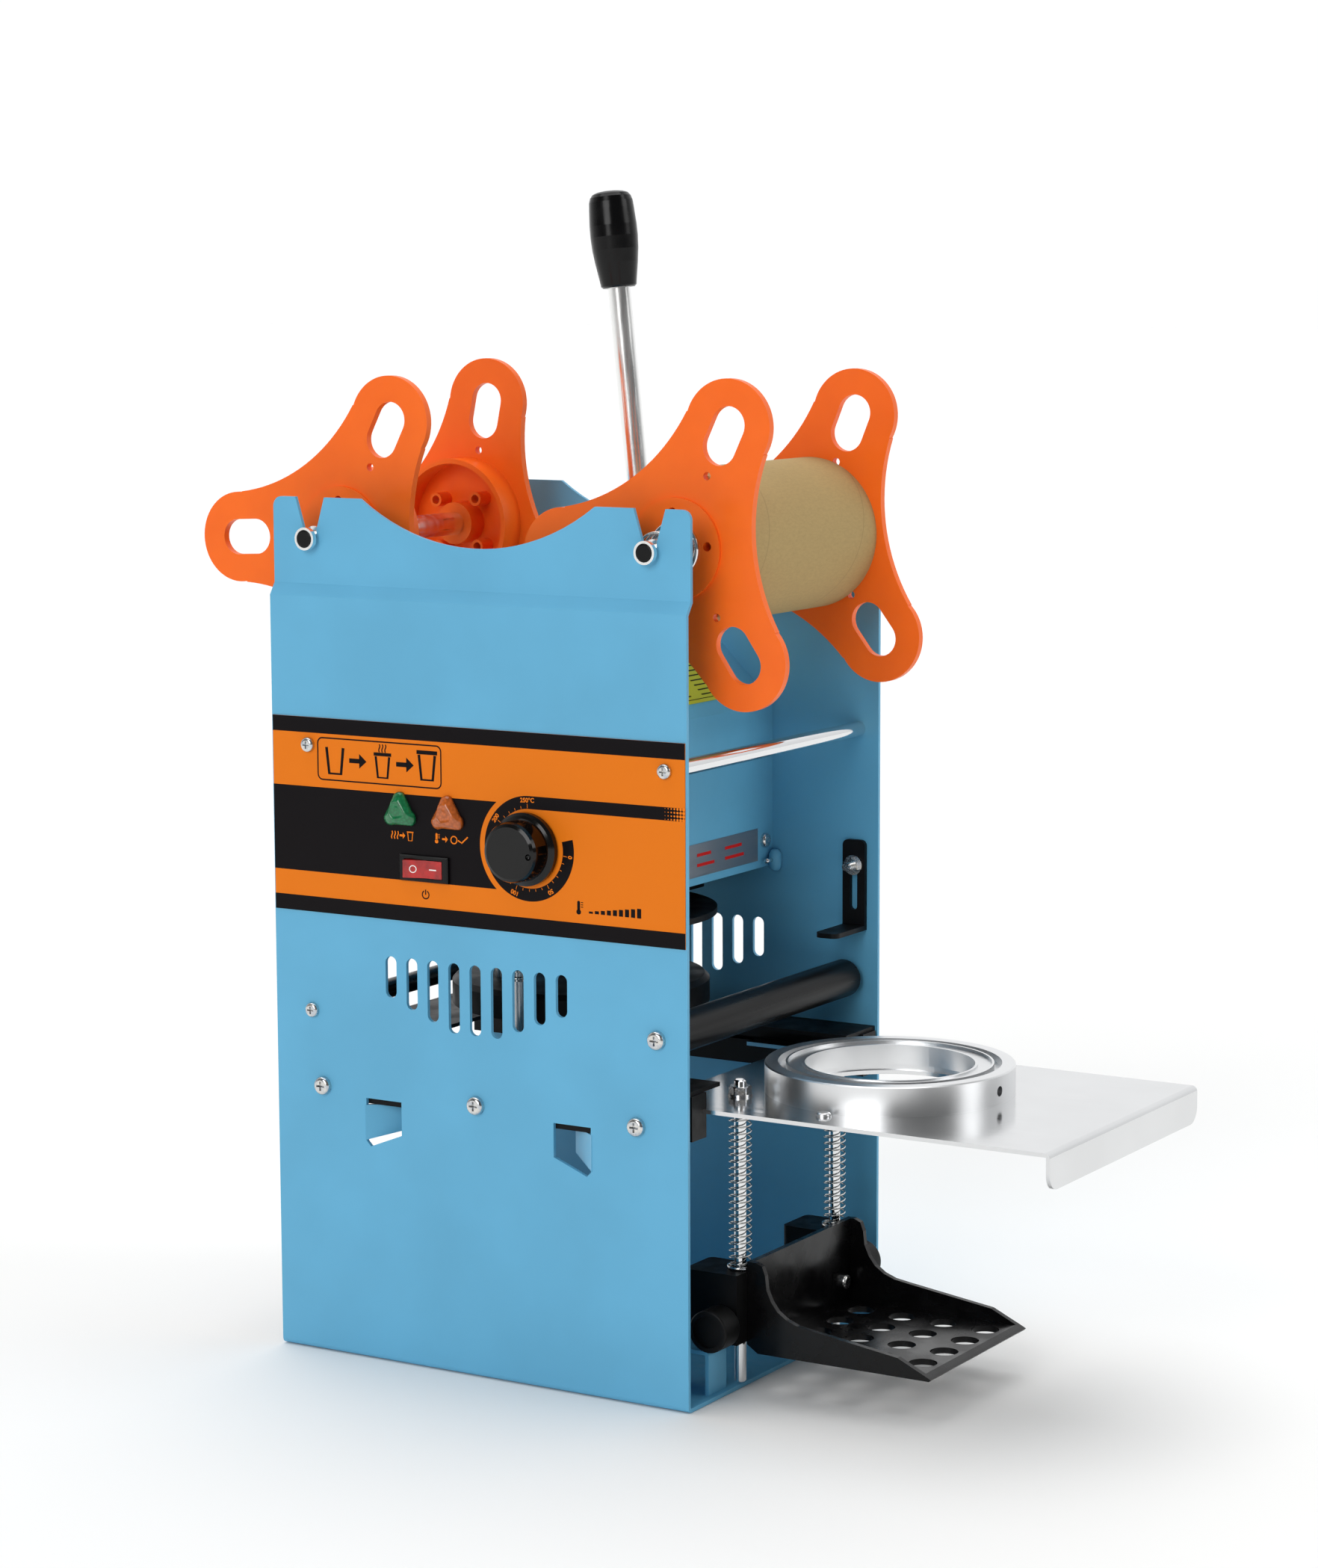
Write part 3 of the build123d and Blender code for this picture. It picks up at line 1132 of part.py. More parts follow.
def stop_arm():
    """Slotted angle on the inner face of the far side plate."""
    y0 = STOP_Y - STOP_W / 2
    y1 = STOP_Y + STOP_W / 2
    z1 = STOP_Z0 + STOP_H
    leg = box(INNER - STOP_T, INNER, y0, y1, STOP_Z0, z1)
    top = [e for e in leg.edges().filter_by(Axis.X) if e.center().Z > z1 - 0.1]
    leg = fillet(top, 3)
    foot = box(INNER - STOP_FOOT, INNER, y0, y1, STOP_Z0, STOP_Z0 + STOP_T)
    tip = [e for e in foot.edges().filter_by(Axis.Z) if e.center().X < INNER - STOP_FOOT + 0.1]
    foot = fillet(tip, 4)
    arm = leg + foot
    half = STOP_SLOT_W / 2
    low = STOP_Z0 + STOP_T + 10
    arm -= box(INNER - STOP_T - 1, INNER + 1, STOP_Y - half, STOP_Y + half, low, STOP_BOLT_Z)
    arm -= rod_x(STOP_Y, low, STOP_SLOT_W, INNER - STOP_T - 1, INNER + 1)
    arm -= rod_x(STOP_Y, STOP_BOLT_Z, STOP_SLOT_W, INNER - STOP_T - 1, INNER + 1)
    return arm


def stop_bolt():
    """Screw from outside with a flange nut on the arm."""
    screw = pan_screw(HALF_W, STOP_Y, STOP_BOLT_Z, 1, M4_HEAD_D, M4_HEAD_H, M4_D, SHEET + STOP_T + 9)
    face = INNER - STOP_T
    nut = rod_x(STOP_Y, STOP_BOLT_Z, 10.4, face - 1, face)
    hexagon = extrude(RegularPolygon(3.6, 6, major_radius=False), 3.2)
    nut += Pos(face - 1, STOP_Y, STOP_BOLT_Z) * Rot(0, -90, 0) * hexagon
    nut -= rod_x(STOP_Y, STOP_BOLT_Z, M4_D, face - 20, face + 1)
    return [screw, nut]


def foot_bracket():
    """Bent strip on the chassis floor behind the front edge."""
    x0 = FOOT_BRACKET_X0
    x1 = x0 + FOOT_BRACKET_W
    y = FOOT_BRACKET_Y
    z0 = SHEET
    z1 = SHEET + FOOT_BRACKET_H
    leg = box(x0, x1, y, y + SHEET, z0, z1)
    shelf = box(x0, x1, y, y + FOOT_BRACKET_L, z1 - SHEET, z1)
    rear = box(x0, x1, y + FOOT_BRACKET_L - SHEET, y + FOOT_BRACKET_L, z0, z1)
    strip = leg + shelf + rear
    bends = [e for e in strip.edges().filter_by(Axis.X)
             if abs(e.center().Z - z1) < 0.01 and (abs(e.center().Y - y) < 0.01
                                                   or abs(e.center().Y - y - FOOT_BRACKET_L) < 0.01)]
    return fillet(bends, 2.5)


def cable_gland():
    """Mains cable gland in the far side plate."""
    body = rod_x(GLAND_Y, GLAND_Z, GLAND_D, INNER - 8, HALF_W)
    outside = extrude(RegularPolygon(9, 6, major_radius=False), 6)
    inside = extrude(RegularPolygon(9, 6, major_radius=False), 4)
    body += Pos(HALF_W, GLAND_Y, GLAND_Z) * Rot(0, 90, 0) * outside
    body += Pos(INNER, GLAND_Y, GLAND_Z) * Rot(0, -90, 0) * inside
    neck = rod_x(GLAND_Y, GLAND_Z, 14, HALF_W + 6, HALF_W + 13)
    rim = neck.edges().filter_by(GeomType.CIRCLE).sort_by(Axis.X)[-1]
    body += fillet(rim, 2.5)
    return body - rod_x(GLAND_Y, GLAND_Z, 7, 0, WIDTH)


# ================================================================= write every node
def main():
    os.makedirs("parts", exist_ok=True)
    save("chassis", chassis())
    save("slide_bed", slide_bed())
    save("drawer_rails", *rails())
    save("hood", hood())
    save("hood_label", hood_label())
    save("hood_sticker", hood_sticker())
    save("hood_screws", *hood_screws())
    save("panel_overlay", panel_overlay())
    save("lamp_green", lamp(LAMP_YS[0]))
    save("lamp_amber", lamp(LAMP_YS[1]))
    save("thermostat", thermostat())
    save("temp_knob", temp_knob())
    save("switch_body", switch_body())
    save("power_rocker", rocker())
    save("film_rods", *film_rods())
    save("rear_bar", rear_bar())
    save("guide_spindle", guide_spindle())
    save("guide_roller", guide_roller())
    save("plate_screws", *plate_screws())
    save("rod_screws", *rod_screws())
    save("stop_arm", stop_arm())
    save("stop_bolt", *stop_bolt())
    save("foot_bracket", foot_bracket())
    save("cable_gland", cable_gland())
    save("guide_columns", *guide_columns())
    save("bridge", bridge())
    save("lever_bushes", *lever_bushes())
    save("lever_shaft", lever_shaft())
    save("pinion", pinion())
    save("lever_arm", lever_arm())
    save("lever_grip", lever_grip())
    save("ram", ram())
    save("crosshead", crosshead())
    save("shield_plate", shield_plate())
    save("head_posts", *head_posts())
    save("seal_housing", seal_housing())
    save("heater_plate", heater_plate())
    save("knife_ring", knife_ring())
    save("return_springs", *return_springs())
    save("drawer_plate", drawer_plate())
    save("die_ring", die_ring())
    save("die_insert", die_insert())
    save("drawer_rivets", *rivets())
    save("guide_rods", *guide_rods())
    save("rod_nuts", *rod_nuts())
    save("rod_springs", *rod_springs())
    save("tray", tray())
    save("tray_blocks", *tray_blocks())
    save("tray_screws", *tray_screws())
    save("clamp_knob_near", clamp_knob(-1))
    save("clamp_knob_far", clamp_knob(1))
    save("front_flanges", *reel_flanges(-REEL_Y, FRONT_FLANGE_X, FRONT_FLANGE_TURN))
    save("front_shaft", reel_shaft(-REEL_Y))
    save("front_plugs", *reel_plugs(-REEL_Y))
    save("front_core", reel_core())
    save("front_cups", *reel_cups())
    save("front_reel_spring", reel_spring())
    save("rear_flanges", *reel_flanges(REEL_Y, REAR_FLANGE_X, REAR_FLANGE_TURN))
    save("rear_shaft", reel_shaft(REEL_Y))
    save("rear_plugs", *reel_plugs(REEL_Y))


main()
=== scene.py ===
"""Looks of a hand-lever cup sealing machine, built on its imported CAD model.

Every piece is in metres in the machine's own frame: +Z up, -Y the drawer side, -X the panel side.
"""

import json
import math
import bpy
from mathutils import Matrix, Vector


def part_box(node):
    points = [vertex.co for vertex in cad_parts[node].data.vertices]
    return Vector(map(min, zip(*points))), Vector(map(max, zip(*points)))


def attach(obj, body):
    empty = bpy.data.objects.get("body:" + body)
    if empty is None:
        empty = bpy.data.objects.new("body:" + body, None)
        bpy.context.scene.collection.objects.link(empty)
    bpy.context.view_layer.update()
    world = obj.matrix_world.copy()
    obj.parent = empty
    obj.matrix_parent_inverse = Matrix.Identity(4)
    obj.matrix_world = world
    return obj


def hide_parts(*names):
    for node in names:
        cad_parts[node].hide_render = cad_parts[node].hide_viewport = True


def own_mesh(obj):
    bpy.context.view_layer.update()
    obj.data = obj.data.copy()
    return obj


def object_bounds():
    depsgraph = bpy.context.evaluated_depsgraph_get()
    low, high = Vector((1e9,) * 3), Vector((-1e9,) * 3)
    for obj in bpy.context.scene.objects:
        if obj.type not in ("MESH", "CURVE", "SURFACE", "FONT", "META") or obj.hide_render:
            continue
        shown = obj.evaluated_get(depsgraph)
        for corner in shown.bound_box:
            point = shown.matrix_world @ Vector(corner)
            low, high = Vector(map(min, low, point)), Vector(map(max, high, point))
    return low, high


bl_info = {
    "name": "Cup Sealing Machine",
    "version": (1, 0, 0),
    "blender": (4, 5, 0),
    "location": "View3D > Sidebar > Cup Sealer",
    "description": "Print, lamps, labels, springs, fittings, finishes and stage of a cup sealing machine",
    "category": "Object",
}

from functools import partial

import bmesh
import bpy
from bpy.props import FloatProperty, FloatVectorProperty, IntProperty, PointerProperty
from bpy.types import Operator, Panel, PropertyGroup
from mathutils import Matrix, Vector

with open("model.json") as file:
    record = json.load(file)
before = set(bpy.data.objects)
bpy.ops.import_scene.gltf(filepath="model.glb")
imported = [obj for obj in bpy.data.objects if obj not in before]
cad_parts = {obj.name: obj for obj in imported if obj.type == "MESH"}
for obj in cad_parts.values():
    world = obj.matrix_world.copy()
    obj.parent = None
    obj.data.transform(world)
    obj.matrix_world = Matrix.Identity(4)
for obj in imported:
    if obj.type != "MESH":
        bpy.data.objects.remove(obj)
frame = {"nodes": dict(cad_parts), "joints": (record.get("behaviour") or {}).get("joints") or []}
CAD_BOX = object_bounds()

MM = 0.001
ALONG_Y = (1, 120, 1)                     # stretch of a rolled sheet's grain
PANEL_LOW, PANEL_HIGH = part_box("panel_overlay")
FACE_X = PANEL_LOW.x                      # printed face of the panel
KNOB_LOW, KNOB_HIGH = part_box("temp_knob")
DIAL_Y = (KNOB_LOW.y + KNOB_HIGH.y) / 2 - 1.0 * MM
DIAL_Z = (KNOB_LOW.z + KNOB_HIGH.z) / 2
JOINTS = {joint["name"]: joint for joint in frame["joints"]}


# ---- colours
def linear(code):
    """Linear colour of an sRGB hex code."""
    parts = [int(code[i:i + 2], 16) / 255 for i in (0, 2, 4)]
    return tuple(c / 12.92 if c <= 0.04045 else ((c + 0.055) / 1.055) ** 2.4 for c in parts)


def length(name, text, default):
    return FloatProperty(name=name, description=text, default=default, min=0.0, unit="LENGTH", precision=5)


def colour(name, text, code):
    return FloatVectorProperty(name=name, description=text, default=linear(code), size=3, subtype="COLOR",
                               min=0.0, max=1.0)


class SealerPanelSizes(PropertyGroup):
    """Sizes of the printed panel."""

    ink: length("Ink height", "Thickness of the printed layers", 0.00006)
    edge_band: length("Edge band", "Height of the black bands at the top and bottom edges", 0.0078)
    block_low: length("Block foot", "Height of the black block's lower edge above the panel's", 0.0205)
    block_high: length("Block head", "Height of the black block's upper edge above the same", 0.0635)
    band_inner: length("Scale inner radius", "Inner radius of the dial's black scale", 0.0195)
    band_outer: length("Scale outer radius", "Outer radius of the dial's black scale", 0.0258)
    halo: length("Halo radius", "Radius of the orange ring that parts scale and block", 0.0286)
    tick: length("Tick length", "Length of a short tick", 0.0012)
    tick_width: length("Tick width", "Width of a tick", 0.00028)
    ticks: IntProperty(name="Ticks", description="Ticks on the scale, one for each ten", default=26, min=2)
    tick_step: FloatProperty(name="Tick step", description="Angle between two ticks", subtype="ANGLE",
                             default=math.radians(10.48))
    numeral: length("Numeral height", "Size of the scale's numbers", 0.0031)


class SealerPartSizes(PropertyGroup):
    """Sizes of lamps, labels and small fittings."""

    lamp_width: length("Lamp width", "Width of a pilot lamp's lens", 0.0185)
    lamp_height: length("Lamp height", "Height of a pilot lamp's lens", 0.0170)
    lamp_depth: length("Lamp depth", "How far a lens stands out of the panel", 0.0046)
    lamp_corner: length("Lamp corner", "Corner radius of a lens", 0.0040)
    lamp_eye: length("Lamp eye", "Radius of the round facet in the middle of a lens", 0.0048)
    cup_wall: length("Spring seat wall", "Wall of the pressed seat round a rod spring's foot", 0.0005)
    cup_height: length("Spring seat height", "Height of that seat", 0.0020)
    rod_wire: length("Rod spring wire", "Wire of the springs on the drawer's rods", 0.0008)
    head_wire: length("Head spring wire", "Wire of the springs that lift the head", 0.0012)
    row_pitch: length("Row pitch", "Distance between two printed rows of the instruction sheet", 0.0031)


class SealerColours(PropertyGroup):
    """Colours that a buyer could order differently."""

    body: colour("Body", "Powder coat of the sheet metal", "64AFD4")
    panel: colour("Panel", "Ground colour of the printed panel", "E77916")
    ink: colour("Ink", "Dark ink of the printed panel", "0E0A0D")
    flange: colour("Flanges", "Moulded reel flanges", "FF6E1A")
    core: colour("Core", "Kraft paper of the reel core", "B09763")
    go_lens: colour("Green lens", "Left pilot lamp", "1A9A5C")
    heat_lens: colour("Amber lens", "Right pilot lamp", "E8762E")
    rocker: colour("Rocker", "Translucent rocker of the switch", "B5120F")
    sheet: colour("Sheet", "Ground colour of the instruction sheet", "C4CB2C")


# ---- node helpers
def add(tree, kind, inputs=None, **settings):
    """Adds one node, with its settings and its inputs or links."""
    node = tree.nodes.new(kind)
    for key, value in settings.items():
        setattr(node, key, value)
    for key, value in (inputs or {}).items():
        if isinstance(value, bpy.types.NodeSocket):
            tree.links.new(value, node.inputs[key])
        else:
            node.inputs[key].default_value = value
    return node


def surface(name, rgb, roughness, metallic=0.0, **sockets):
    """A material with its shader and object coordinates. rgb is linear."""
    material = bpy.data.materials.new(name)
    material.use_nodes = True
    material.diffuse_color = (*rgb, 1)
    tree = material.node_tree
    shader = tree.nodes["Principled BSDF"]
    shader.inputs["Base Color"].default_value = (*rgb, 1)
    shader.inputs["Roughness"].default_value = roughness
    shader.inputs["Metallic"].default_value = metallic
    for key, value in sockets.items():
        shader.inputs[key.replace("_", " ")].default_value = value
    place = add(tree, "ShaderNodeTexCoord").outputs["Object"]
    return material, tree, shader, place


def bumped(tree, shader, height, strength, rise_mm):
    """Feeds a height into the shader's normal; rise_mm is the real depth of the relief."""
    bump = add(tree, "ShaderNodeBump", {"Strength": strength, "Distance": rise_mm * MM, "Height": height})
    tree.links.new(bump.outputs["Normal"], shader.inputs["Normal"])


def noise(tree, place, size_mm, detail=3.0, stretch=(1, 1, 1), rough=0.5):
    """Noise whose features are size_mm across, drawn out along the axes by stretch."""
    scale = tuple(1 / (MM * size_mm * s) for s in stretch)
    spot = add(tree, "ShaderNodeMapping", {"Vector": place, "Scale": scale})
    return add(tree, "ShaderNodeTexNoise", {"Vector": spot.outputs["Vector"], "Scale": 1.0, "Detail": detail,
                                            "Roughness": rough}).outputs["Fac"]


def spread(tree, factor, low, high, start=0.35, end=0.65):
    """Maps a factor to a number between low and high."""
    return add(tree, "ShaderNodeMapRange", {"Value": factor, "From Min": start, "From Max": end,
                                            "To Min": low, "To Max": high}).outputs["Result"]


def tinted(tree, shader, factor, dark, light, start=0.35, end=0.65):
    """Varies the base colour between two linear colours, and gives the varied colour."""
    ramp = add(tree, "ShaderNodeValToRGB", {"Fac": factor})
    ramp.color_ramp.elements[0].position = start
    ramp.color_ramp.elements[0].color = (*dark, 1)
    ramp.color_ramp.elements[1].position = end
    ramp.color_ramp.elements[1].color = (*light, 1)
    tree.links.new(ramp.outputs["Color"], shader.inputs["Base Color"])
    return ramp.outputs["Color"]


def math_node(tree, operation, a, b=0.0):
    return add(tree, "ShaderNodeMath", {0: a, 1: b}, operation=operation).outputs[0]


def shade(rgb, factor):
    return tuple(min(1.0, c * factor) for c in rgb)


# ---- finishes
def chosen(code):
    """Linear colour of a named setting, or of an sRGB hex code."""
    settings = bpy.context.scene.sealer_colours
    return tuple(getattr(settings, code)) if hasattr(settings, code) else linear(code)


def look(colour, roughness, metallic=0.0, **more):
    """One row of the table of finishes."""
    return {"colour": colour, "roughness": roughness, "metallic": metallic, **more}


def even_finish(name, colour, roughness, metallic, lift=1.0, gloss=None, tint=None, relief=None, specular=0.5,
                **sockets):
    """An even base that up to three noises vary.

    Each of gloss, tint and relief starts with its noise's (size_mm, detail, stretch). Then come, for gloss,
    the lowest and highest roughness; for tint, the dark and light end as factors of the base or hex codes;
    for relief, its strength and its depth in mm.
    """
    rgb = shade(chosen(colour), lift)
    material, tree, shader, place = surface(name, rgb, roughness, metallic, Specular_IOR_Level=specular,
                                            **sockets)
    if gloss:
        tree.links.new(spread(tree, noise(tree, place, *gloss[0]), *gloss[1:]), shader.inputs["Roughness"])
    if tint:
        ends = [linear(end) if isinstance(end, str) else shade(rgb, end) for end in tint[1:]]
        tinted(tree, shader, noise(tree, place, *tint[0]), *ends)
    if relief:
        bumped(tree, shader, noise(tree, place, *relief[0]), *relief[1:])
    return material


EVEN_FINISHES = {
    # Polyester powder coat on sheet steel: satin, with the soft orange peel of baked powder.
    "powder_coat_blue": look(
        "body", 0.42, IOR=1.5, specular=0.3, tint=((70,), 0.95, 1.04), gloss=((9,), 0.36, 0.48),
        relief=((1.7, 2), 0.5, 0.012)),
    # Fine-texture black powder coat on brackets, bed and press head.
    "powder_coat_black": look(
        "0D0E10", 0.5, IOR=1.5, specular=0.15, gloss=((14,), 0.40, 0.56), relief=((0.8, 3), 0.6, 0.02)),
    # Back-printed polycarbonate film: even colour under a fine velvet face.
    "panel_polycarbonate": look(
        "panel", 0.36, IOR=1.58, specular=0.1, gloss=((25,), 0.31, 0.40), relief=((0.5, 2), 0.25, 0.004)),
    # Screen-printed black under the same velvet face.
    "ink_black": look(
        "ink", 0.34, IOR=1.58, specular=0.08, gloss=((25,), 0.30, 0.40), relief=((0.5, 2), 0.25, 0.004)),
    # Numbers and ticks left clear in the black, so the ground colour shows.
    "ink_orange": look("panel", 0.36, lift=1.1, IOR=1.58, specular=0.1, relief=((0.5, 2), 0.25, 0.004)),
    # One spot colour in the pictograms.
    "ink_red": look("CF1B14", 0.36, IOR=1.58, specular=0.1, relief=((0.5, 2), 0.25, 0.004)),
    # Pad-printed white marks on the rocker.
    "ink_white": look("F2F0EC", 0.45, relief=((0.4, 2), 0.3, 0.006)),
    # Polished stainless sheet: mirror-like, with a faint rolling grain along the drawer.
    "polished_stainless": look(
        "DCDDDE", 0.14, 1.0, tint=((40,), 0.96, 1.0), gloss=((0.5, 3, ALONG_Y), 0.10, 0.20),
        relief=((0.5, 3, ALONG_Y), 0.12, 0.0015)),
    # Milled aluminium of the heated plate, slightly browned by heat.
    "cast_aluminium": look("BFBEBA", 0.35, 1.0, tint=((22,), "A79C88", 1.0), relief=((0.6, 3), 0.4, 0.01)),
    # Bright chrome on turned bar, with faint marks.
    "chrome_plate": look("E4E5E6", 0.07, 1.0, gloss=((6, 4), 0.05, 0.12), relief=((3.0, 3), 0.08, 0.002)),
    # Chrome on drawn bar that was only lightly polished, so its streaks are soft; its near-white colour,
    # lighter than chrome's own, is painted brightness that stands in for the bright reflections these bars
    # catch.
    "drawn_chrome": look("F2F2F1", 0.2, 1.0, gloss=((3, 3, (1, 1, 30)), 0.16, 0.26)),
    # Bright zinc on screws, nuts and seats: a little blue, a little uneven.
    "zinc_plate": look(
        "D0D3D6", 0.2, 1.0, tint=((2.2,), "BCC2CA", "DDDAD4"), gloss=((0.9,), 0.14, 0.28),
        relief=((0.4,), 0.15, 0.003)),
    # Ground and oiled carbon steel inside the press.
    "ground_steel": look(
        "A9ABAD", 0.26, 1.0, tint=((16,), 0.86, 1.0), gloss=((0.6, 3, (1, 1, 40)), 0.18, 0.34)),
    # Drawn spring wire with a thin zinc coat.
    "spring_wire": look("C9C9C6", 0.22, 1.0, gloss=((1.2,), 0.16, 0.30)),
    # Black-oxided steel bar with an oily shine.
    "black_oxide": look("111112", 0.3, 0.6, gloss=((8,), 0.22, 0.38), relief=((0.7,), 0.2, 0.004)),
    # Black plastic sleeve of the film roller, extruded and satin.
    "sleeve_black": look(
        "0C0C0D", 0.32, IOR=1.49, specular=0.16, gloss=((3, 3, (30, 1, 1)), 0.26, 0.40),
        relief=((1.2, 2, (25, 1, 1)), 0.25, 0.006)),
    # Injection-moulded black ABS, glossy where the tool was polished.
    "abs_black": look(
        "060607", 0.26, IOR=1.54, specular=0.22, gloss=((16,), 0.18, 0.32), relief=((5.0, 2), 0.12, 0.02)),
    # Black nylon, duller than the ABS, with a fine spark-eroded grain.
    "nylon_black": look(
        "0C0C0D", 0.46, IOR=1.53, specular=0.15, gloss=((7,), 0.40, 0.54), relief=((0.45, 3), 0.45, 0.012)),
    # Compression-moulded phenolic of the knob: deep black and glossy.
    "phenolic_black": look("060606", 0.16, IOR=1.6, specular=0.25, gloss=((10,), 0.10, 0.18)),
    # Moulded orange polypropylene: waxy, saturated, light passes a little way in.
    "polypropylene_orange": look(
        "flange", 0.36, IOR=1.49, specular=0.3, Subsurface_Weight=0.12, Subsurface_Scale=0.002,
        Subsurface_Radius=(1.0, 0.35, 0.1), tint=((30, 2), 0.94, 1.03), gloss=((6,), 0.31, 0.42),
        relief=((2.4, 3), 0.3, 0.02)),
    # Translucent red polycarbonate of the rocker, glossy.
    "rocker_red": look("rocker", 0.14, IOR=1.58, Transmission_Weight=0.12, tint=((6,), 0.7, 1.3)),
    # Printed vinyl of the instruction sheet, a little wavy.
    "sheet_vinyl": look("sheet", 0.4, IOR=1.5, tint=((20,), 0.93, 1.0), relief=((9, 2), 0.3, 0.03)),
    # Brushed silver foil label.
    "foil_label": look(
        "8D949C", 0.34, 0.75, gloss=((0.35, 3, (60, 1, 1)), 0.28, 0.42),
        relief=((0.35, 3, (60, 1, 1)), 0.2, 0.003)),
    # Oil-filled sintered bronze bush, porous and dull.
    "sintered_bronze": look("9C7B4B", 0.42, 0.9, tint=((0.7, 4), 0.7, 1.0)),
    # Matt pale paper roll.
    "studio_floor": look("F4F4F3", 0.9, tint=((900,), 0.995, 1.0)),
}
# Tinted polycarbonate lenses: the colour and its brightness. The lower brightness is painted shade of the
# dark chamber behind the lens; the higher one, on the round eye, is a painted glow of the lamp behind it.
LENSES = {"lens_green": ("go_lens", 0.65), "lens_green_eye": ("go_lens", 1.9),
          "lens_amber": ("heat_lens", 0.75), "lens_amber_eye": ("heat_lens", 1.45)}


def turned_aluminium():
    """Aluminium turned on a lathe: fine rings about the die's axis under a satin shine."""
    rgb = linear("E3E4E5")
    low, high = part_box("die_ring")
    centre = ((low.x + high.x) / 2, (low.y + high.y) / 2, 0)
    material, tree, shader, place = surface("turned_aluminium", rgb, 0.24, 1.0)
    spot = add(tree, "ShaderNodeMapping", {"Vector": place, "Location": centre}, vector_type="TEXTURE")
    groove = 0.45 * MM
    rings = add(tree, "ShaderNodeTexWave", {
        "Vector": spot.outputs["Vector"], "Scale": math.tau / 20 / groove, "Distortion": 0.4, "Detail": 2.0,
        "Detail Scale": 3.0}, wave_type="RINGS", rings_direction="Z").outputs["Fac"]
    tree.links.new(spread(tree, noise(tree, place, 60, 1), 0.29, 0.34), shader.inputs["Roughness"])
    tinted(tree, shader, rings, shade(rgb, 0.96), rgb, 0.2, 0.8)
    bumped(tree, shader, rings, 0.3, 0.002)
    return material


def kraft_core():
    """Spirally wound kraft tube: short fibres, dark specks and the seam of the outer ply."""
    rgb = chosen("core")
    low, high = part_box("front_core")
    centre = (0, (low.y + high.y) / 2, (low.z + high.z) / 2)
    lead = 95 * MM                        # one turn of the seam along the tube
    material, tree, shader, place = surface("kraft_core", rgb, 0.86)
    spot = add(tree, "ShaderNodeMapping", {"Vector": place, "Location": centre},
               vector_type="TEXTURE").outputs["Vector"]
    xyz = add(tree, "ShaderNodeSeparateXYZ", {"Vector": spot})
    turn = math_node(tree, "ARCTAN2", xyz.outputs["Z"], xyz.outputs["Y"])
    wound = math_node(tree, "ADD", math_node(tree, "DIVIDE", turn, math.tau),
                      math_node(tree, "DIVIDE", xyz.outputs["X"], lead))
    seam = spread(tree, math_node(tree, "FRACT", wound), 0.0, 1.0, 0.0, 0.012)
    fibre = noise(tree, spot, 0.7, 4, (3.5, 1, 1), 0.65)
    fleck = noise(tree, spot, 1.1, 4, (2.5, 1, 1), 0.7)
    paper = tinted(tree, shader, fleck, shade(rgb, 0.9), shade(rgb, 1.02), 0.3, 0.62)
    mix = add(tree, "ShaderNodeMix", {0: seam, 6: (*shade(rgb, 0.75), 1), 7: paper}, data_type="RGBA")
    tree.links.new(mix.outputs[2], shader.inputs["Base Color"])
    bumped(tree, shader, math_node(tree, "ADD", seam, fibre), 0.4, 0.03)
    return material


def tinted_lens(name, colour, brightness):
    """Tinted polycarbonate lens: the light and dark cells in its colour are painted glints and painted shade
    of the facets behind it.
    """
    rgb = shade(chosen(colour), brightness)
    material, tree, shader, place = surface(name, rgb, 0.1, IOR=1.58, Transmission_Weight=0.25)
    painted_facet_glints = add(tree, "ShaderNodeTexVoronoi", {"Vector": place, "Scale": 1 / (1.6 * MM)}).outputs["Distance"]
    # Painted glints and shade: cells of the colour made lighter and darker in place of light broken by the
    # facets.
    tinted(tree, shader, painted_facet_glints, shade(rgb, 1.25), shade(rgb, 0.8), 0.1, 0.75)
    bumped(tree, shader, noise(tree, place, 1.5, 2), 0.12, 0.01)
    return material


def finish(name):
    """The named finish, made once."""
    made = bpy.data.materials.get(name)
    if made:
        return made
    if name in LENSES:
        return tinted_lens(name, *LENSES[name])
    if name in EVEN_FINISHES:
        return even_finish(name, **EVEN_FINISHES[name])
    return {"turned_aluminium": turned_aluminium, "kraft_core": kraft_core}[name]()


NODE_FINISH = {
    "powder_coat_blue": ("chassis", "hood", "foot_bracket"),
    "powder_coat_black": ("slide_bed", "bridge", "stop_arm", "crosshead", "shield_plate", "seal_housing"),
    "panel_polycarbonate": ("panel_overlay",),
    "polished_stainless": ("drawer_plate",),
    "turned_aluminium": ("die_ring", "die_insert", "drawer_rivets"),
    "cast_aluminium": ("heater_plate",),
    "chrome_plate": ("film_rods", "front_cups", "guide_rods"),
    "drawn_chrome": ("lever_arm", "front_shaft", "rear_shaft"),
    "zinc_plate": ("plate_screws", "rod_screws", "hood_screws", "stop_bolt", "rod_nuts", "tray_screws"),
    "ground_steel": ("guide_columns", "lever_shaft", "pinion", "ram", "head_posts", "knife_ring"),
    "spring_wire": ("rod_springs", "return_springs", "front_reel_spring"),
    "black_oxide": ("rear_bar", "guide_spindle"),
    "sleeve_black": ("guide_roller",),
    "abs_black": ("tray", "lever_grip", "front_plugs", "rear_plugs", "switch_body"),
    "nylon_black": ("drawer_rails", "tray_blocks", "clamp_knob_near", "clamp_knob_far", "cable_gland",
                    "thermostat"),
    "phenolic_black": ("temp_knob",),
    "polypropylene_orange": ("front_flanges", "rear_flanges"),
    "kraft_core": ("front_core",),
    "rocker_red": ("power_rocker",),
    "sheet_vinyl": ("hood_sticker",),
    "foil_label": ("hood_label",),
    "sintered_bronze": ("lever_bushes",),
}


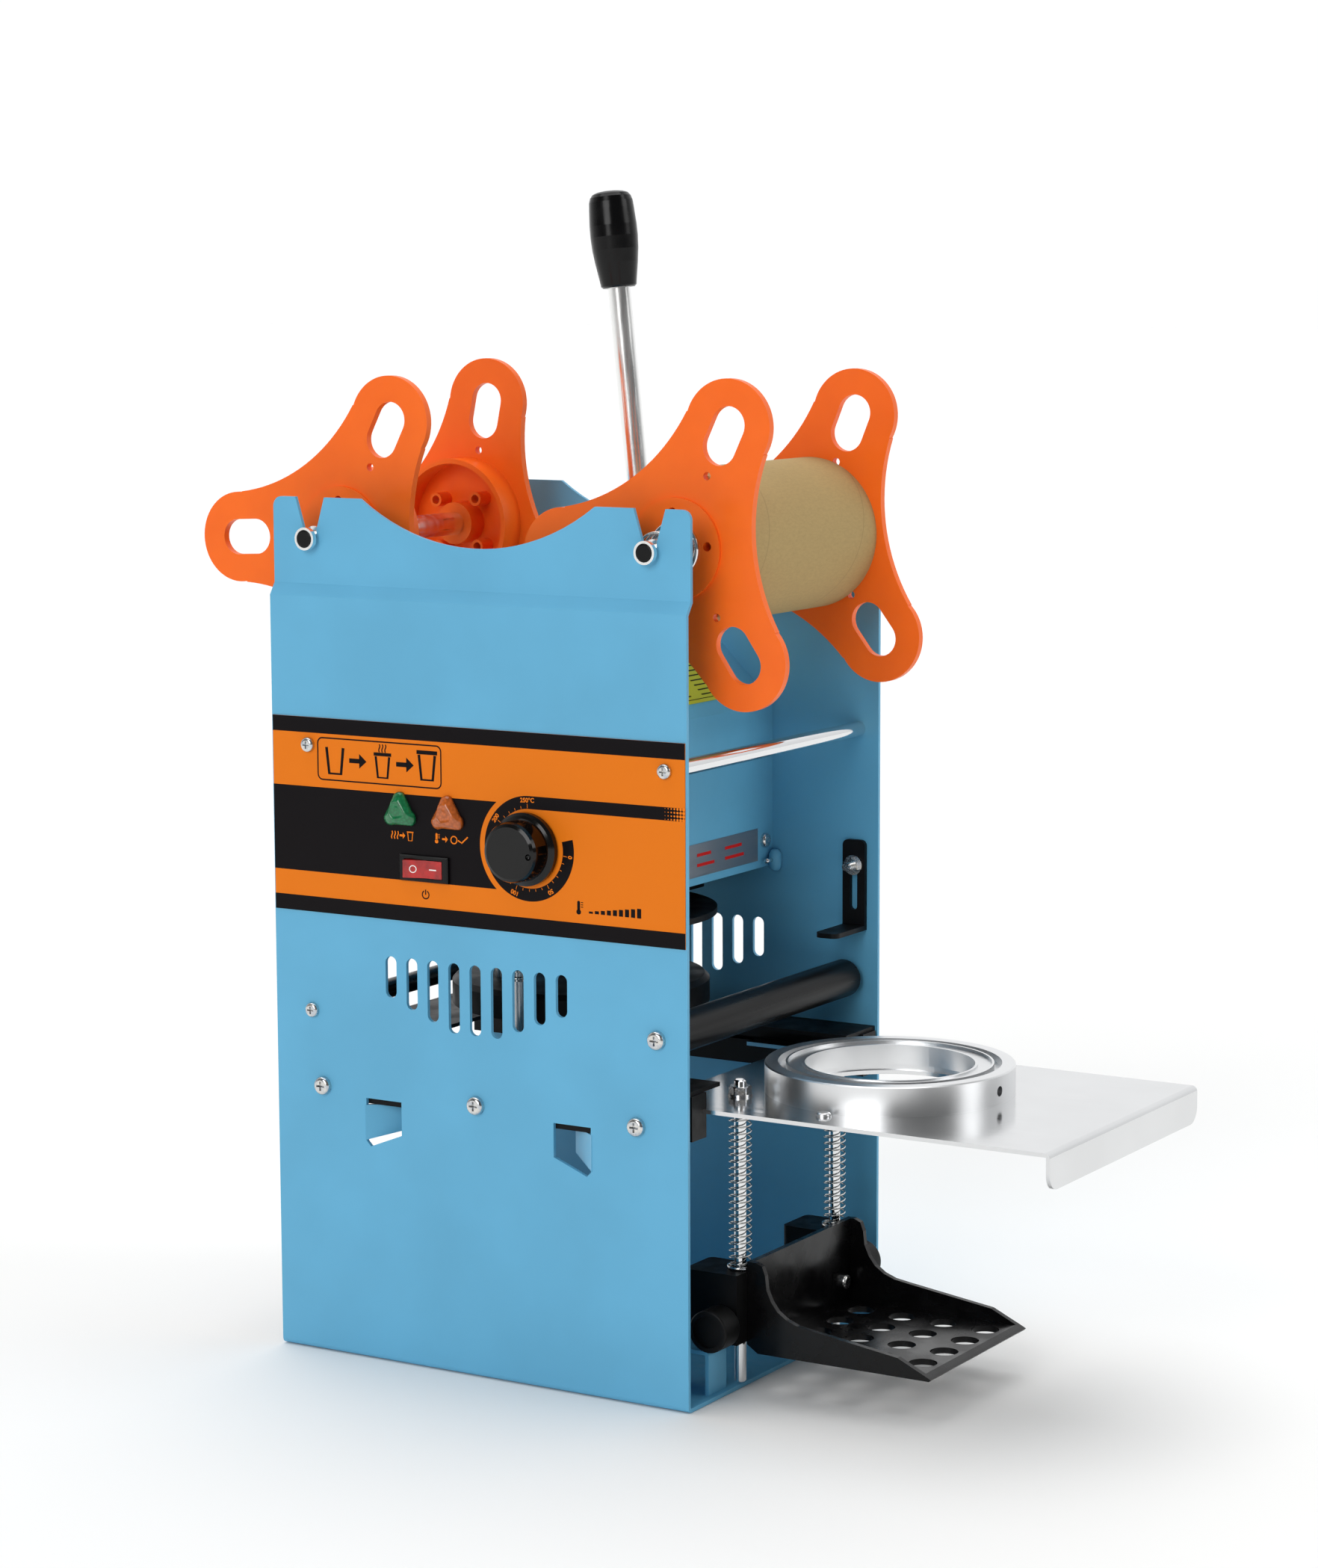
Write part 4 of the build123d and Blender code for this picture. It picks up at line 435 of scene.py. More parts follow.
# ---- mesh helpers
def placed(name, data):
    """New object in the scene."""
    item = bpy.data.objects.new(name, data)
    bpy.context.scene.collection.objects.link(item)
    return item


def as_mesh(bm, name):
    """Turns a bmesh into a mesh and frees it."""
    mesh = bpy.data.meshes.new(name)
    bm.to_mesh(mesh)
    bm.free()
    return mesh


def new_piece(name, bm, materials, body):
    """Turns a bmesh into a piece that rides on a CAD body."""
    bmesh.ops.remove_doubles(bm, verts=bm.verts, dist=1e-7)
    bmesh.ops.recalc_face_normals(bm, faces=bm.faces)
    mesh = as_mesh(bm, name)
    mesh.materials.clear()
    for material in materials:
        mesh.materials.append(finish(material))
    piece = placed(name, mesh)
    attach(piece, body)
    return piece


def slab(bm, outline, x0, x1, material=0):
    """Closed slab between x0 and x1 from an outline of (y, z) points."""
    front, back = ([bm.verts.new((x, y, z)) for y, z in outline] for x in (x0, x1))
    faces = [bm.faces.new(front), bm.faces.new(list(reversed(back)))]
    for i in range(len(outline)):
        j = (i + 1) % len(outline)
        faces.append(bm.faces.new((front[i], back[i], back[j], front[j])))
    for face in faces:
        face.material_index = material


def bar(bm, y0, y1, z0, z1, x0, x1):
    """Rectangular slab."""
    slab(bm, [(y0, z0), (y1, z0), (y1, z1), (y0, z1)], x0, x1)


def stroke(bm, points, width, x0, x1, material=0, closed=False):
    """Slab along a line of (y, z) points, width wide."""
    count = len(points)
    left, right = [], []
    for i, (y, z) in enumerate(points):
        before = points[i - 1] if closed or i else points[i]
        after = points[(i + 1) % count] if closed or i < count - 1 else points[i]
        way = Vector((after[0] - before[0], after[1] - before[1])).normalized()
        left.append((y - way.y * width / 2, z + way.x * width / 2))
        right.append((y + way.y * width / 2, z - way.x * width / 2))
    if not closed:
        slab(bm, left + list(reversed(right)), x0, x1, material)
        return
    for i in range(count):
        j = (i + 1) % count
        slab(bm, [left[i], left[j], right[j], right[i]], x0, x1, material)


def arc(y, z, radius, start, end, steps):
    """Points on an arc; angles in degrees from the front (-Y) towards +Z."""
    angles = [math.radians(start + (end - start) * i / steps) for i in range(steps + 1)]
    return [(y - radius * math.cos(a), z + radius * math.sin(a)) for a in angles]


def rounded_box(y0, y1, z0, z1, radius, steps=6):
    """Outline of a rounded rectangle in (y, z)."""
    out = []
    for cy, cz, start in ((y0 + radius, z1 - radius, 0), (y1 - radius, z1 - radius, 90),
                          (y1 - radius, z0 + radius, 180), (y0 + radius, z0 + radius, 270)):
        out += arc(cy, cz, radius, start, start + 90, steps)
    return out


def turned(bm, outline, centre, axis, steps):
    """Solid of revolution from (radius, distance) points about a line through centre."""
    axis = Vector(axis)
    side = axis.orthogonal().normalized()
    other = axis.cross(side)
    rings = []
    for radius, along in outline:
        middle = Vector(centre) + axis * along
        if radius == 0:
            rings.append([bm.verts.new(middle)] * steps)
            continue
        turns = [math.tau * i / steps for i in range(steps)]
        ways = [side * math.cos(a) + other * math.sin(a) for a in turns]
        rings.append([bm.verts.new(middle + way * radius) for way in ways])
    for first, second in zip(rings, rings[1:] + rings[:1]):
        if first[0] is first[1] and second[0] is second[1]:
            continue
        for i in range(steps):
            j = (i + 1) % steps
            corners = dict.fromkeys((first[i], first[j], second[j], second[i]))
            bm.faces.new(list(corners)).smooth = True


def to_face(x, y, z):
    """Lays a flat XY drawing on the panel's face, with its middle at (y, z)."""
    return Matrix(((0, 0, -1, x), (-1, 0, 0, y), (0, 1, 0, z), (0, 0, 0, 1)))


def lettering(text, size, y, z, turn, x0, rise):
    """Mesh of a short text on the panel's face, its middle at (y, z), turned by an angle."""
    curve = bpy.data.curves.new("lettering", "FONT")
    curve.body = text
    curve.size = size
    curve.align_x = "CENTER"
    curve.align_y = "CENTER"
    curve.extrude = rise / 2
    curve.offset = size * 0.03
    holder = placed("lettering", curve)
    graph = bpy.context.evaluated_depsgraph_get()
    mesh = bpy.data.meshes.new_from_object(holder.evaluated_get(graph))
    bpy.data.objects.remove(holder)
    mesh.transform(to_face(x0 - rise / 2, y, z) @ Matrix.Rotation(turn, 4, "Z"))
    return mesh


def joined(meshes):
    """One bmesh of several meshes."""
    bm = bmesh.new()
    for mesh in meshes:
        bm.from_mesh(mesh)
        bpy.data.meshes.remove(mesh)
    return bm


# ---- geometry nodes
def new_tree(name, whole, real):
    """Geometry node tree with whole and real numbers as inputs; gives it, its inputs and its calculator."""
    tree = bpy.data.node_groups.new(name, "GeometryNodeTree")
    tree.interface.new_socket("Geometry", in_out="OUTPUT", socket_type="NodeSocketGeometry")
    for kind, labels in (("Int", whole), ("Float", real), ("Material", ["Material"])):
        for label in labels:
            tree.interface.new_socket(label, in_out="INPUT", socket_type="NodeSocket" + kind)
    return tree, tree.nodes.new("NodeGroupInput").outputs, partial(math_node, tree)


def vector(tree, x=0.0, y=0.0, z=0.0):
    return add(tree, "ShaderNodeCombineXYZ", {"X": x, "Y": y, "Z": z}).outputs[0]


def close_tree(tree, material, **instances):
    """Puts instances on points and ends the tree in Realize Instances and Set Material."""
    many = add(tree, "GeometryNodeInstanceOnPoints", instances)
    real = add(tree, "GeometryNodeRealizeInstances", {"Geometry": many.outputs[0]})
    done = add(tree, "GeometryNodeSetMaterial", {"Geometry": real.outputs[0], "Material": material})
    add(tree, "NodeGroupOutput", {"Geometry": done.outputs[0]})
    return tree


def rows_of_points(tree, given, do, pitch_x, pitch_y):
    """Grid of points, and its length along X."""
    long = do("MULTIPLY", do("SUBTRACT", given["Columns"], 1.0), pitch_x)
    wide = do("MULTIPLY", do("SUBTRACT", given["Rows"], 1.0), pitch_y)
    grid = add(tree, "GeometryNodeMeshGrid", {
        "Size X": long, "Size Y": wide, "Vertices X": given["Columns"], "Vertices Y": given["Rows"]})
    return grid.outputs[0], long


def dial_tick_tree():
    """Ticks round an arc, every fifth one longer, standing on a common inner radius."""
    tree, given, do = new_tree("dial_ticks", ["Count"],
                               ["Start", "Step", "Radius", "Length", "Width", "Rise"])
    index = add(tree, "GeometryNodeInputIndex").outputs[0]
    angle = do("SUBTRACT", given["Start"], do("MULTIPLY", index, given["Step"]))
    fifth = do("LESS_THAN", do("MODULO", index, 5.0), 0.5)
    longer = do("ADD", 1.0, do("MULTIPLY", fifth, 0.75))
    half = do("MULTIPLY", do("MULTIPLY", given["Length"], longer), 0.5)
    reach = do("ADD", given["Radius"], half)
    y = do("MULTIPLY", do("MULTIPLY", do("COSINE", angle), reach), -1.0)
    z = do("MULTIPLY", do("SINE", angle), reach)
    line = add(tree, "GeometryNodeMeshLine", {"Count": given["Count"]}).outputs[0]
    points = add(tree, "GeometryNodeSetPosition", {"Geometry": line, "Position": vector(tree, 0.0, y, z)})
    tick = add(tree, "GeometryNodeMeshCube", {
        "Size": vector(tree, given["Rise"], given["Length"], given["Width"])})
    turn = vector(tree, do("SUBTRACT", math.pi, angle))
    return close_tree(tree, given["Material"], Points=points.outputs[0], Instance=tick.outputs[0],
                      Rotation=turn, Scale=vector(tree, 1.0, longer, 1.0))


def halftone_tree():
    """Rows of round dots that grow from one end to the other."""
    tree, given, do = new_tree("halftone_dots", ["Columns", "Rows"], ["Pitch", "Radius", "Rise"])
    points, long = rows_of_points(tree, given, do, given["Pitch"], given["Pitch"])
    place = add(tree, "ShaderNodeSeparateXYZ", {"Vector": add(tree, "GeometryNodeInputPosition").outputs[0]})
    share = do("ADD", do("DIVIDE", place.outputs["X"], long), 0.5)
    scale = do("ADD", do("MULTIPLY", share, 0.85), 0.22)
    dot = add(tree, "GeometryNodeMeshCylinder", {
        "Vertices": 14, "Radius": given["Radius"], "Depth": given["Rise"]})
    return close_tree(tree, given["Material"], Points=points, Instance=dot.outputs[0],
                      Scale=vector(tree, scale, scale, 1.0))


def ruled_rows_tree():
    """Rows of short bars of uneven length, as plain print too small to read."""
    tree, given, do = new_tree("ruled_rows", ["Columns", "Rows", "Seed"],
                               ["Column pitch", "Row pitch", "Bar", "Weight", "Rise"])
    points, _ = rows_of_points(tree, given, do, given["Column pitch"], given["Row pitch"])
    share = add(tree, "FunctionNodeRandomValue", {2: 0.45, 3: 1.0, "Seed": given["Seed"]}, data_type="FLOAT")
    reach = share.outputs[1]
    shift = do("MULTIPLY", do("MULTIPLY", do("SUBTRACT", 1.0, reach), given["Bar"]), -0.5)
    moved = add(tree, "GeometryNodeSetPosition", {"Geometry": points, "Offset": vector(tree, shift)})
    stripe = add(tree, "GeometryNodeMeshCube", {
        "Size": vector(tree, given["Bar"], given["Weight"], given["Rise"])})
    return close_tree(tree, given["Material"], Points=moved.outputs[0], Instance=stripe.outputs[0],
                      Scale=vector(tree, reach, 1.0, 1.0))


def grown(tree, values):
    """Plain mesh that a geometry node tree gives for these input values."""
    holder = placed("grown", bpy.data.meshes.new("grown"))
    modifier = holder.modifiers.new("grown", "NODES")
    modifier.node_group = tree
    for item in tree.interface.items_tree:
        if item.item_type == "SOCKET" and item.in_out == "INPUT" and item.name in values:
            modifier[item.identifier] = values[item.name]
    holder.update_tag()
    graph = bpy.context.evaluated_depsgraph_get()
    mesh = bpy.data.meshes.new_from_object(holder.evaluated_get(graph))
    holder.modifiers.remove(modifier)
    bpy.data.objects.remove(holder)
    return mesh


# ---- operators
class SealerFinishes(Operator):
    """Give every CAD node the finish of the real piece"""

    bl_idname = "sealer.finishes"
    bl_label = "Finishes"

    def execute(self, context):
        for name, nodes in NODE_FINISH.items():
            material = finish(name)
            for node in nodes:
                for slot in frame["nodes"][node].material_slots:
                    slot.material = material
        return {"FINISHED"}


class SealerPanelPrint(Operator):
    """Print the panel's black bands, block and dial scale"""

    bl_idname = "sealer.panel_print"
    bl_label = "Panel print"

    def execute(self, context):
        sizes = context.scene.sealer_panel
        low, high = PANEL_LOW, PANEL_HIGH
        x1 = FACE_X - 0.2 * sizes.ink
        x0 = x1 - sizes.ink
        bm = bmesh.new()
        for z0, z1 in ((low.z, low.z + sizes.edge_band), (high.z - sizes.edge_band, high.z)):
            bar(bm, low.y, high.y, z0, z1, x0, x1)
        z0 = low.z + sizes.block_low
        z1 = low.z + sizes.block_high
        reach = math.degrees(math.asin((z1 - DIAL_Z) / sizes.halo))
        drop = math.degrees(math.asin((DIAL_Z - z0) / sizes.halo))
        hollow = arc(DIAL_Y, DIAL_Z, sizes.halo, 180 + drop, 180 - reach, 40)
        slab(bm, [(high.y, z1), (high.y, z0)] + hollow, x0, x1)
        first, last = 14, -270                # from just above the front, round below, to the top
        outer = arc(DIAL_Y, DIAL_Z, sizes.band_outer, first, last, 96)
        inner = arc(DIAL_Y, DIAL_Z, sizes.band_inner, last, first, 96)
        end = [(low.y, DIAL_Z + sizes.band_outer), (low.y, DIAL_Z + sizes.band_inner)]
        slab(bm, outer + end + inner, x0, x1)
        new_piece("panel_print", bm, ["ink_black"], "machine")
        return {"FINISHED"}


class SealerDialMarks(Operator):
    """Add the dial's ticks and numbers and the dots at the end of its bar"""

    bl_idname = "sealer.dial_marks"
    bl_label = "Dial marks"

    def execute(self, context):
        sizes = context.scene.sealer_panel
        x = FACE_X - 1.2 * sizes.ink
        zero = math.radians(-6)               # the mark for 0 sits a little below the front
        gap = 0.0003                          # from the scale's inner edge to the ticks
        meshes = [grown(dial_tick_tree(), {
            "Count": sizes.ticks, "Start": zero, "Step": sizes.tick_step, "Radius": sizes.band_inner + gap,
            "Length": sizes.tick, "Width": sizes.tick_width, "Rise": sizes.ink})]
        meshes[0].transform(Matrix.Translation((x - sizes.ink / 2, DIAL_Y, DIAL_Z)))
        middle = sizes.band_outer - 0.0022
        for label, mark in (("0", 0), ("50", 5), ("100", 10), ("150", 15), ("200", 20), ("250°C", 25)):
            angle = zero - mark * sizes.tick_step
            y = DIAL_Y - middle * math.cos(angle)
            z = DIAL_Z + middle * math.sin(angle)
            meshes.append(lettering(label, sizes.numeral, y, z, angle - math.pi / 2, x, sizes.ink))
        dots = grown(halftone_tree(), {"Columns": 7, "Rows": 4, "Pitch": 0.00172, "Radius": 0.00078,
                                       "Rise": sizes.ink})
        dots.transform(to_face(x - sizes.ink / 2, PANEL_LOW.y + 0.0058,
                               DIAL_Z + (sizes.band_inner + sizes.band_outer) / 2))
        meshes.append(dots)
        new_piece("dial_marks", joined(meshes), ["ink_orange"], "machine")
        return {"FINISHED"}


class Sign:
    """Draws pictograms in one layer of ink. Every sign has its middle at (y, z) and is about size high."""

    def __init__(self, layer, ink):
        self.bm = bmesh.new()
        self.x1 = FACE_X - layer * ink
        self.x0 = self.x1 - ink

    def slab(self, outline):
        slab(self.bm, outline, self.x0, self.x1)

    def bar(self, y0, y1, z0, z1):
        bar(self.bm, y0, y1, z0, z1, self.x0, self.x1)

    def line(self, points, width, material=0, closed=False):
        stroke(self.bm, points, width, self.x0, self.x1, material, closed)

    def thermometer(self, y, z, size):
        """Tube, bulb and three marks."""
        self.slab(rounded_box(y - 0.12 * size, y + 0.12 * size, z - 0.2 * size, z + 0.5 * size, 0.11 * size))
        self.slab(arc(y, z - 0.32 * size, 0.2 * size, 0, 350, 20))
        for k in range(3):
            z1 = z + (0.02 + 0.17 * k) * size
            self.bar(y - 0.38 * size, y - 0.2 * size, z1, z1 + 0.06 * size)

    def heat(self, y, z, size, material=0):
        """Three rising wavy lines."""
        for side in (-1, 0, 1):
            middle = y + side * 0.38 * size
            line = [(middle + 0.07 * size * math.sin(math.tau * i / 12), z + (0.84 * i / 12 - 0.42) * size)
                    for i in range(13)]
            self.line(line, 0.13 * size, material)

    def cup(self, y, z, size, sealed=True):
        """A tapered cup, open or with its film lid."""
        self.line([(y + 0.34 * size, z + 0.4 * size), (y + 0.24 * size, z - 0.48 * size),
                   (y - 0.24 * size, z - 0.48 * size), (y - 0.34 * size, z + 0.4 * size)], 0.11 * size)
        if sealed:
            self.bar(y - 0.44 * size, y + 0.44 * size, z + 0.42 * size, z + 0.56 * size)

    def arrow(self, y, z, size):
        """An arrow towards the front."""
        thick = 0.09 * size + 0.0002
        self.line([(y + 0.5 * size, z), (y - 0.1 * size, z)], 2 * thick)
        back = y - 0.08 * size
        self.slab([(back, z + 3.2 * thick), (back, z - 3.2 * thick), (y - 0.5 * size, z)])


class SealerPictograms(Operator):
    """Draw plain pictograms where a maker would print its sign and captions"""

    bl_idname = "sealer.pictograms"
    bl_label = "Pictograms"

    def execute(self, context):
        ink = context.scene.sealer_panel.ink
        sign = Sign(0.2, ink)
        z = 0.3051                            # boxed sign: a cup is filled, heated and sealed
        sign.line(rounded_box(0.0185, 0.0930, z - 0.0105, z + 0.0105, 0.0028, 5), 0.0007, closed=True)
        sign.cup(0.0825, z, 0.0150, sealed=False)
        sign.arrow(0.0685, z, 0.0105)
        sign.cup(0.0535, z - 0.0016, 0.0120)
        sign.heat(0.0535, z + 0.0073, 0.0048, 1)
        sign.arrow(0.0400, z, 0.0105)
        sign.cup(0.0268, z, 0.0140)
        y, z = 0.0285, 0.2412                 # power sign under the switch
        sign.line(arc(y, z, 0.0020, 115, 425, 24), 0.0006)
        sign.line([(y, z + 0.0026), (y, z)], 0.0006)
        sign.thermometer(-0.0610, 0.2424, 0.0066)
        z = 0.2400                            # rising bars: the temperature is chosen here
        for k in range(9):
            y = -0.0668 - 0.0034 * k
            sign.bar(y, y - 0.0023, z, z + 0.0010 + 0.00045 * k)
        new_piece("panel_signs", sign.bm, ["ink_black", "ink_red"], "machine")
        sign = Sign(1.2, ink)
        z = 0.2698                            # captions of the lamps: heating, and temperature reached
        sign.heat(0.0465, z, 0.0046)
        sign.arrow(0.0420, z, 0.0034)
        sign.cup(0.0373, z - 0.0002, 0.0044)
        sign.thermometer(0.0215, z + 0.0002, 0.0050)
        sign.arrow(0.0165, z, 0.0034)
        sign.line(arc(0.0112, z, 0.0018, 0, 345, 23), 0.0006, closed=True)
        sign.line([(0.0088, z), (0.0066, z - 0.0012), (0.0030, z + 0.0020)], 0.0007)
        new_piece("lamp_signs", sign.bm, ["ink_orange"], "machine")
        return {"FINISHED"}


# Sections of a lens from the panel outwards: share of its depth, share of the outline that is left, how far
# the section has turned into the round eye, and that circle's radius as a share of the eye's.
LENS_PROFILE = ((0.0, 1.0, 0, 0), (0.30, 1.0, 0, 0), (0.42, 0.975, 0, 0), (0.55, 0.90, 0, 0),
                (0.80, 0.72, 0.35, 1.5), (0.93, 0, 1, 1.10), (1.0, 0, 1, 0.98), (0.96, 0, 1, 0.90),
                (0.92, 0, 1, 0.84), (0.97, 0, 1, 0.5), (0.99, 0, 1, 0.2))


class SealerLamps(Operator):
    """Build the two faceted pilot lamps in place of their plain solids"""

    bl_idname = "sealer.lamps"
    bl_label = "Pilot lamps"

    def execute(self, context):
        self.lamp(context, "lamp_green", "lens_green", "green_lens")
        self.lamp(context, "lamp_amber", "lens_amber", "amber_lens")
        return {"FINISHED"}

    def lamp(self, context, node, material, slot):
        """Rounded triangular lens with a round eye, and its tail through the panel."""
        sizes = context.scene.sealer_parts
        low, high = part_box(node)
        corner, depth = sizes.lamp_corner, sizes.lamp_depth
        half = sizes.lamp_width / 2 - corner
        cy = (low.y + high.y) / 2
        cz = low.z + sizes.lamp_height * 0.46
        outline = []
        for y, z, start in ((cy + half, low.z + corner, 180), (cy - half, low.z + corner, 300),
                            (cy, low.z + sizes.lamp_height - corner, 60)):
            outline += arc(y, z, corner, start, start + 120, 14)
        ways = [Vector((y - cy, z - cz)) for y, z in outline]
        bm = bmesh.new()
        rings = []
        for out, left, round_off, share in LENS_PROFILE:
            spots = [way * left * (1 - round_off) + way.normalized() * sizes.lamp_eye * share * round_off
                     for way in ways]
            rings.append([bm.verts.new((FACE_X - depth * out, cy + spot.x, cz + spot.y)) for spot in spots])
        tip = bm.verts.new((FACE_X - depth, cy, cz))
        for first, second in zip(rings, rings[1:] + [[tip] * len(ways)]):
            for i in range(len(ways)):
                j = (i + 1) % len(ways)
                corners = dict.fromkeys((first[i], first[j], second[j], second[i]))
                face = bm.faces.new(list(corners))
                face.smooth = True
                # Faces near the tip take the eye finish, whose colour carries the painted glow.
                face.material_index = int(face.calc_center_median().x < FACE_X - 0.9 * depth)
        bm.faces.new(rings[0])
        radius, tail, bevel = 0.0060, high.x - FACE_X, 0.001
        turned(bm, [(0, 0), (radius, 0), (radius, tail - bevel), (radius - bevel, tail), (0, tail)],
               (FACE_X, cy, cz), (1, 0, 0), 32)
        piece = new_piece(node + "_lens", bm, [material, material + "_eye"], "machine")
        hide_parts(node)


class SealerSwitchMarks(Operator):
    """Print the round and straight marks on the rocker"""

    bl_idname = "sealer.switch_marks"
    bl_label = "Switch marks"

    def execute(self, context):
        pivot = Vector(JOINTS["power_rock"]["pos_m"])
        thick, middle, tilt, rest = 0.00008, 0.0054, math.radians(9.11), math.radians(9)
        circle, line = bmesh.new(), bmesh.new()
        stroke(circle, arc(0, 0, 0.0017, 0, 345, 23), 0.00045, -thick, 0.0, closed=True)
        bar(line, -0.0021, 0.0021, -0.0003, 0.0003, -thick, 0.0)
        meshes = []
        for bm, side in ((circle, 1), (line, -1)):
            mesh = as_mesh(bm, "mark")
            # Each half of the rocker's face falls back by 0.1604 per metre from 2.6 mm in front of the pivot.
            onto_half = Matrix.Translation((-0.0026 - middle * 0.1604 - 0.00002, side * middle, 0))
            mesh.transform(Matrix.Translation(pivot) @ Matrix.Rotation(rest, 4, "Z") @ onto_half
                           @ Matrix.Rotation(side * tilt, 4, "Z"))
            meshes.append(mesh)
        new_piece("rocker_marks", joined(meshes), ["ink_white"], "power_switch")
        return {"FINISHED"}


class SealerHoodPrints(Operator):
    """Rule the instruction sheet and the foil label with plain rows"""

    bl_idname = "sealer.hood_prints"
    bl_label = "Hood prints"

    def execute(self, context):
        pitch = context.scene.sealer_parts.row_pitch
        low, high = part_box("hood_sticker")
        lift = 0.00011                        # of the ink above the sheet, along Y and Z
        face = (Matrix.Translation((low + high) / 2 + Vector((0, -lift, lift)))
                @ Matrix.Rotation(math.radians(45), 4, "X"))
        meshes = []
        for side, seed in ((-1, 3), (1, 11)):
            rows = grown(ruled_rows_tree(), {
                "Columns": 2, "Rows": 9, "Column pitch": 0.034, "Row pitch": pitch, "Bar": 0.030,
                "Weight": 0.00072, "Rise": 0.00008, "Seed": seed})
            rows.transform(face @ Matrix.Translation((side * 0.036, -0.001, 0)))
            meshes.append(rows)
        across, up, line = (high.x - low.x) / 2 - 0.003, 0.016, 0.0004
        cell = bmesh.new()
        for y0, y1, z0, z1 in ((-across, across, -up, line - up), (-across, across, up - line, up),
                               (-across, line - across, -up, up), (across - line, across, -up, up),
                               (-line / 2, line / 2, -up, up)):
            bar(cell, y0, y1, z0, z1, -0.00004, 0.00004)
        lines = as_mesh(cell, "lines")
        lines.transform(face @ Matrix(((0, 1, 0, 0), (0, 0, 1, 0), (1, 0, 0, 0), (0, 0, 0, 1))))
        new_piece("sheet_rows", joined([*meshes, lines]), ["ink_black"], "machine")
        low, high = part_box("hood_label")
        rows = grown(ruled_rows_tree(), {
            "Columns": 5, "Rows": 2, "Column pitch": 0.028, "Row pitch": 0.0052, "Bar": 0.022,
            "Weight": 0.0016, "Rise": 0.00008, "Seed": 5})
        rows.transform(Matrix.Translation(((low.x + high.x) / 2, low.y - 0.00004, (low.z + high.z) / 2))
                       @ Matrix.Rotation(math.pi / 2, 4, "X"))
        new_piece("label_rows", joined([rows]), ["ink_red"], "machine")
        return {"FINISHED"}


def pair_of(low, high):
    """Outer radius and the two axes of an equal pair of springs that fills a box."""
    radius = (high.y - low.y) / 2
    return radius, [(x, low.y + radius) for x in (low.x + radius, high.x - radius)]


def coil(bm, x, y, low, high, radius, wire, turns):
    """Adds a standing compression spring with a closed turn at each end."""
    steps, sides = 24, 8
    closed = wire * 1.06
    start, end = low + wire / 2, high - wire / 2
    pitch = (end - start - 2 * closed) / (turns - 2)
    rings = []
    for i in range(turns * steps + 1):
        turn = i / steps
        active = min(max(turn - 1, 0), turns - 2)
        rise = (min(turn, 1) + max(turn - turns + 1, 0)) * closed + active * pitch
        way = Vector((math.cos(math.tau * turn), math.sin(math.tau * turn), 0))
        middle = Vector((x, y, start + rise)) + way * radius
        rings.append([bm.verts.new(middle + (way * math.cos(a) + Vector((0, 0, math.sin(a)))) * wire / 2)
                      for a in (math.tau * side / sides for side in range(sides))])
    for first, second in zip(rings, rings[1:]):
        for i in range(sides):
            j = (i + 1) % sides
            bm.faces.new((first[i], first[j], second[j], second[i])).smooth = True
    bm.faces.new(rings[0])
    bm.faces.new(rings[-1])


# Radius and height along the axis, in metres.
LUG_PROFILE = ((0, -0.0055), (0.0016, -0.0055), (0.0030, -0.0042), (0.0034, -0.0020), (0.0034, 0.0030),
               (0.0026, 0.0050), (0.0012, 0.0058), (0, 0.0058))
PIN_PROFILE = ((0, 0), (0.0012, 0), (0.0012, 0.0065), (0, 0.0065))


class SealerFittings(Operator):
    """Add the spring seats, the hood's corner lug and its pin"""

    bl_idname = "sealer.fittings"
    bl_label = "Small fittings"

    def execute(self, context):
        sizes = context.scene.sealer_parts
        low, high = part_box("rod_springs")
        radius, places = pair_of(low, high)
        inner = radius + 0.0002
        outer = inner + sizes.cup_wall
        bm = bmesh.new()
        for place in places:
            turned(bm, [(inner, 0), (outer, 0), (outer, sizes.cup_height), (inner, sizes.cup_height)],
                   (*place, low.z), (0, 0, 1), 40)
        new_piece("spring_seats", bm, ["zinc_plate"], "cup_tray")
        low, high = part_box("hood")
        edge_z = 0.237                        # the hood's lower front edge
        bm = bmesh.new()
        turned(bm, LUG_PROFILE, (high.x - 0.0036, low.y - 0.0036, edge_z + 0.0030), (0, 0, 1), 32)
        new_piece("hood_lug", bm, ["powder_coat_blue"], "machine")
        bm = bmesh.new()
        turned(bm, PIN_PROFILE, (high.x - 0.0125, low.y - 0.0030, edge_z + 0.0035), (1, 0, 0), 20)
        new_piece("hood_pin", bm, ["chrome_plate"], "machine")
        return {"FINISHED"}


class SealerSprings(Operator):
    """Build the coiled springs on the drawer's rods and those that lift the head, in place of their plain
    solids
    """

    bl_idname = "sealer.springs"
    bl_label = "Springs"

    def execute(self, context):
        sizes = context.scene.sealer_parts
        for name, node, wire, turns, body, slot, joint, fixed_top in (
                ("rod_spring_coils", "rod_springs", sizes.rod_wire, 26, "drawer", "zinc_steel",
                 "tray_height", True),
                ("head_spring_coils", "return_springs", sizes.head_wire, 6, "machine", "bright_steel",
                 "head_press", False)):
            low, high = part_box(node)
            radius, places = pair_of(low, high)
            bm = bmesh.new()
            for place in places:
                coil(bm, *place, low.z, high.z, radius - wire / 2, wire, turns)
            piece = new_piece(name, bm, ["spring_wire"], body)
            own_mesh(piece)
            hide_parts(node)
        return {"FINISHED"}


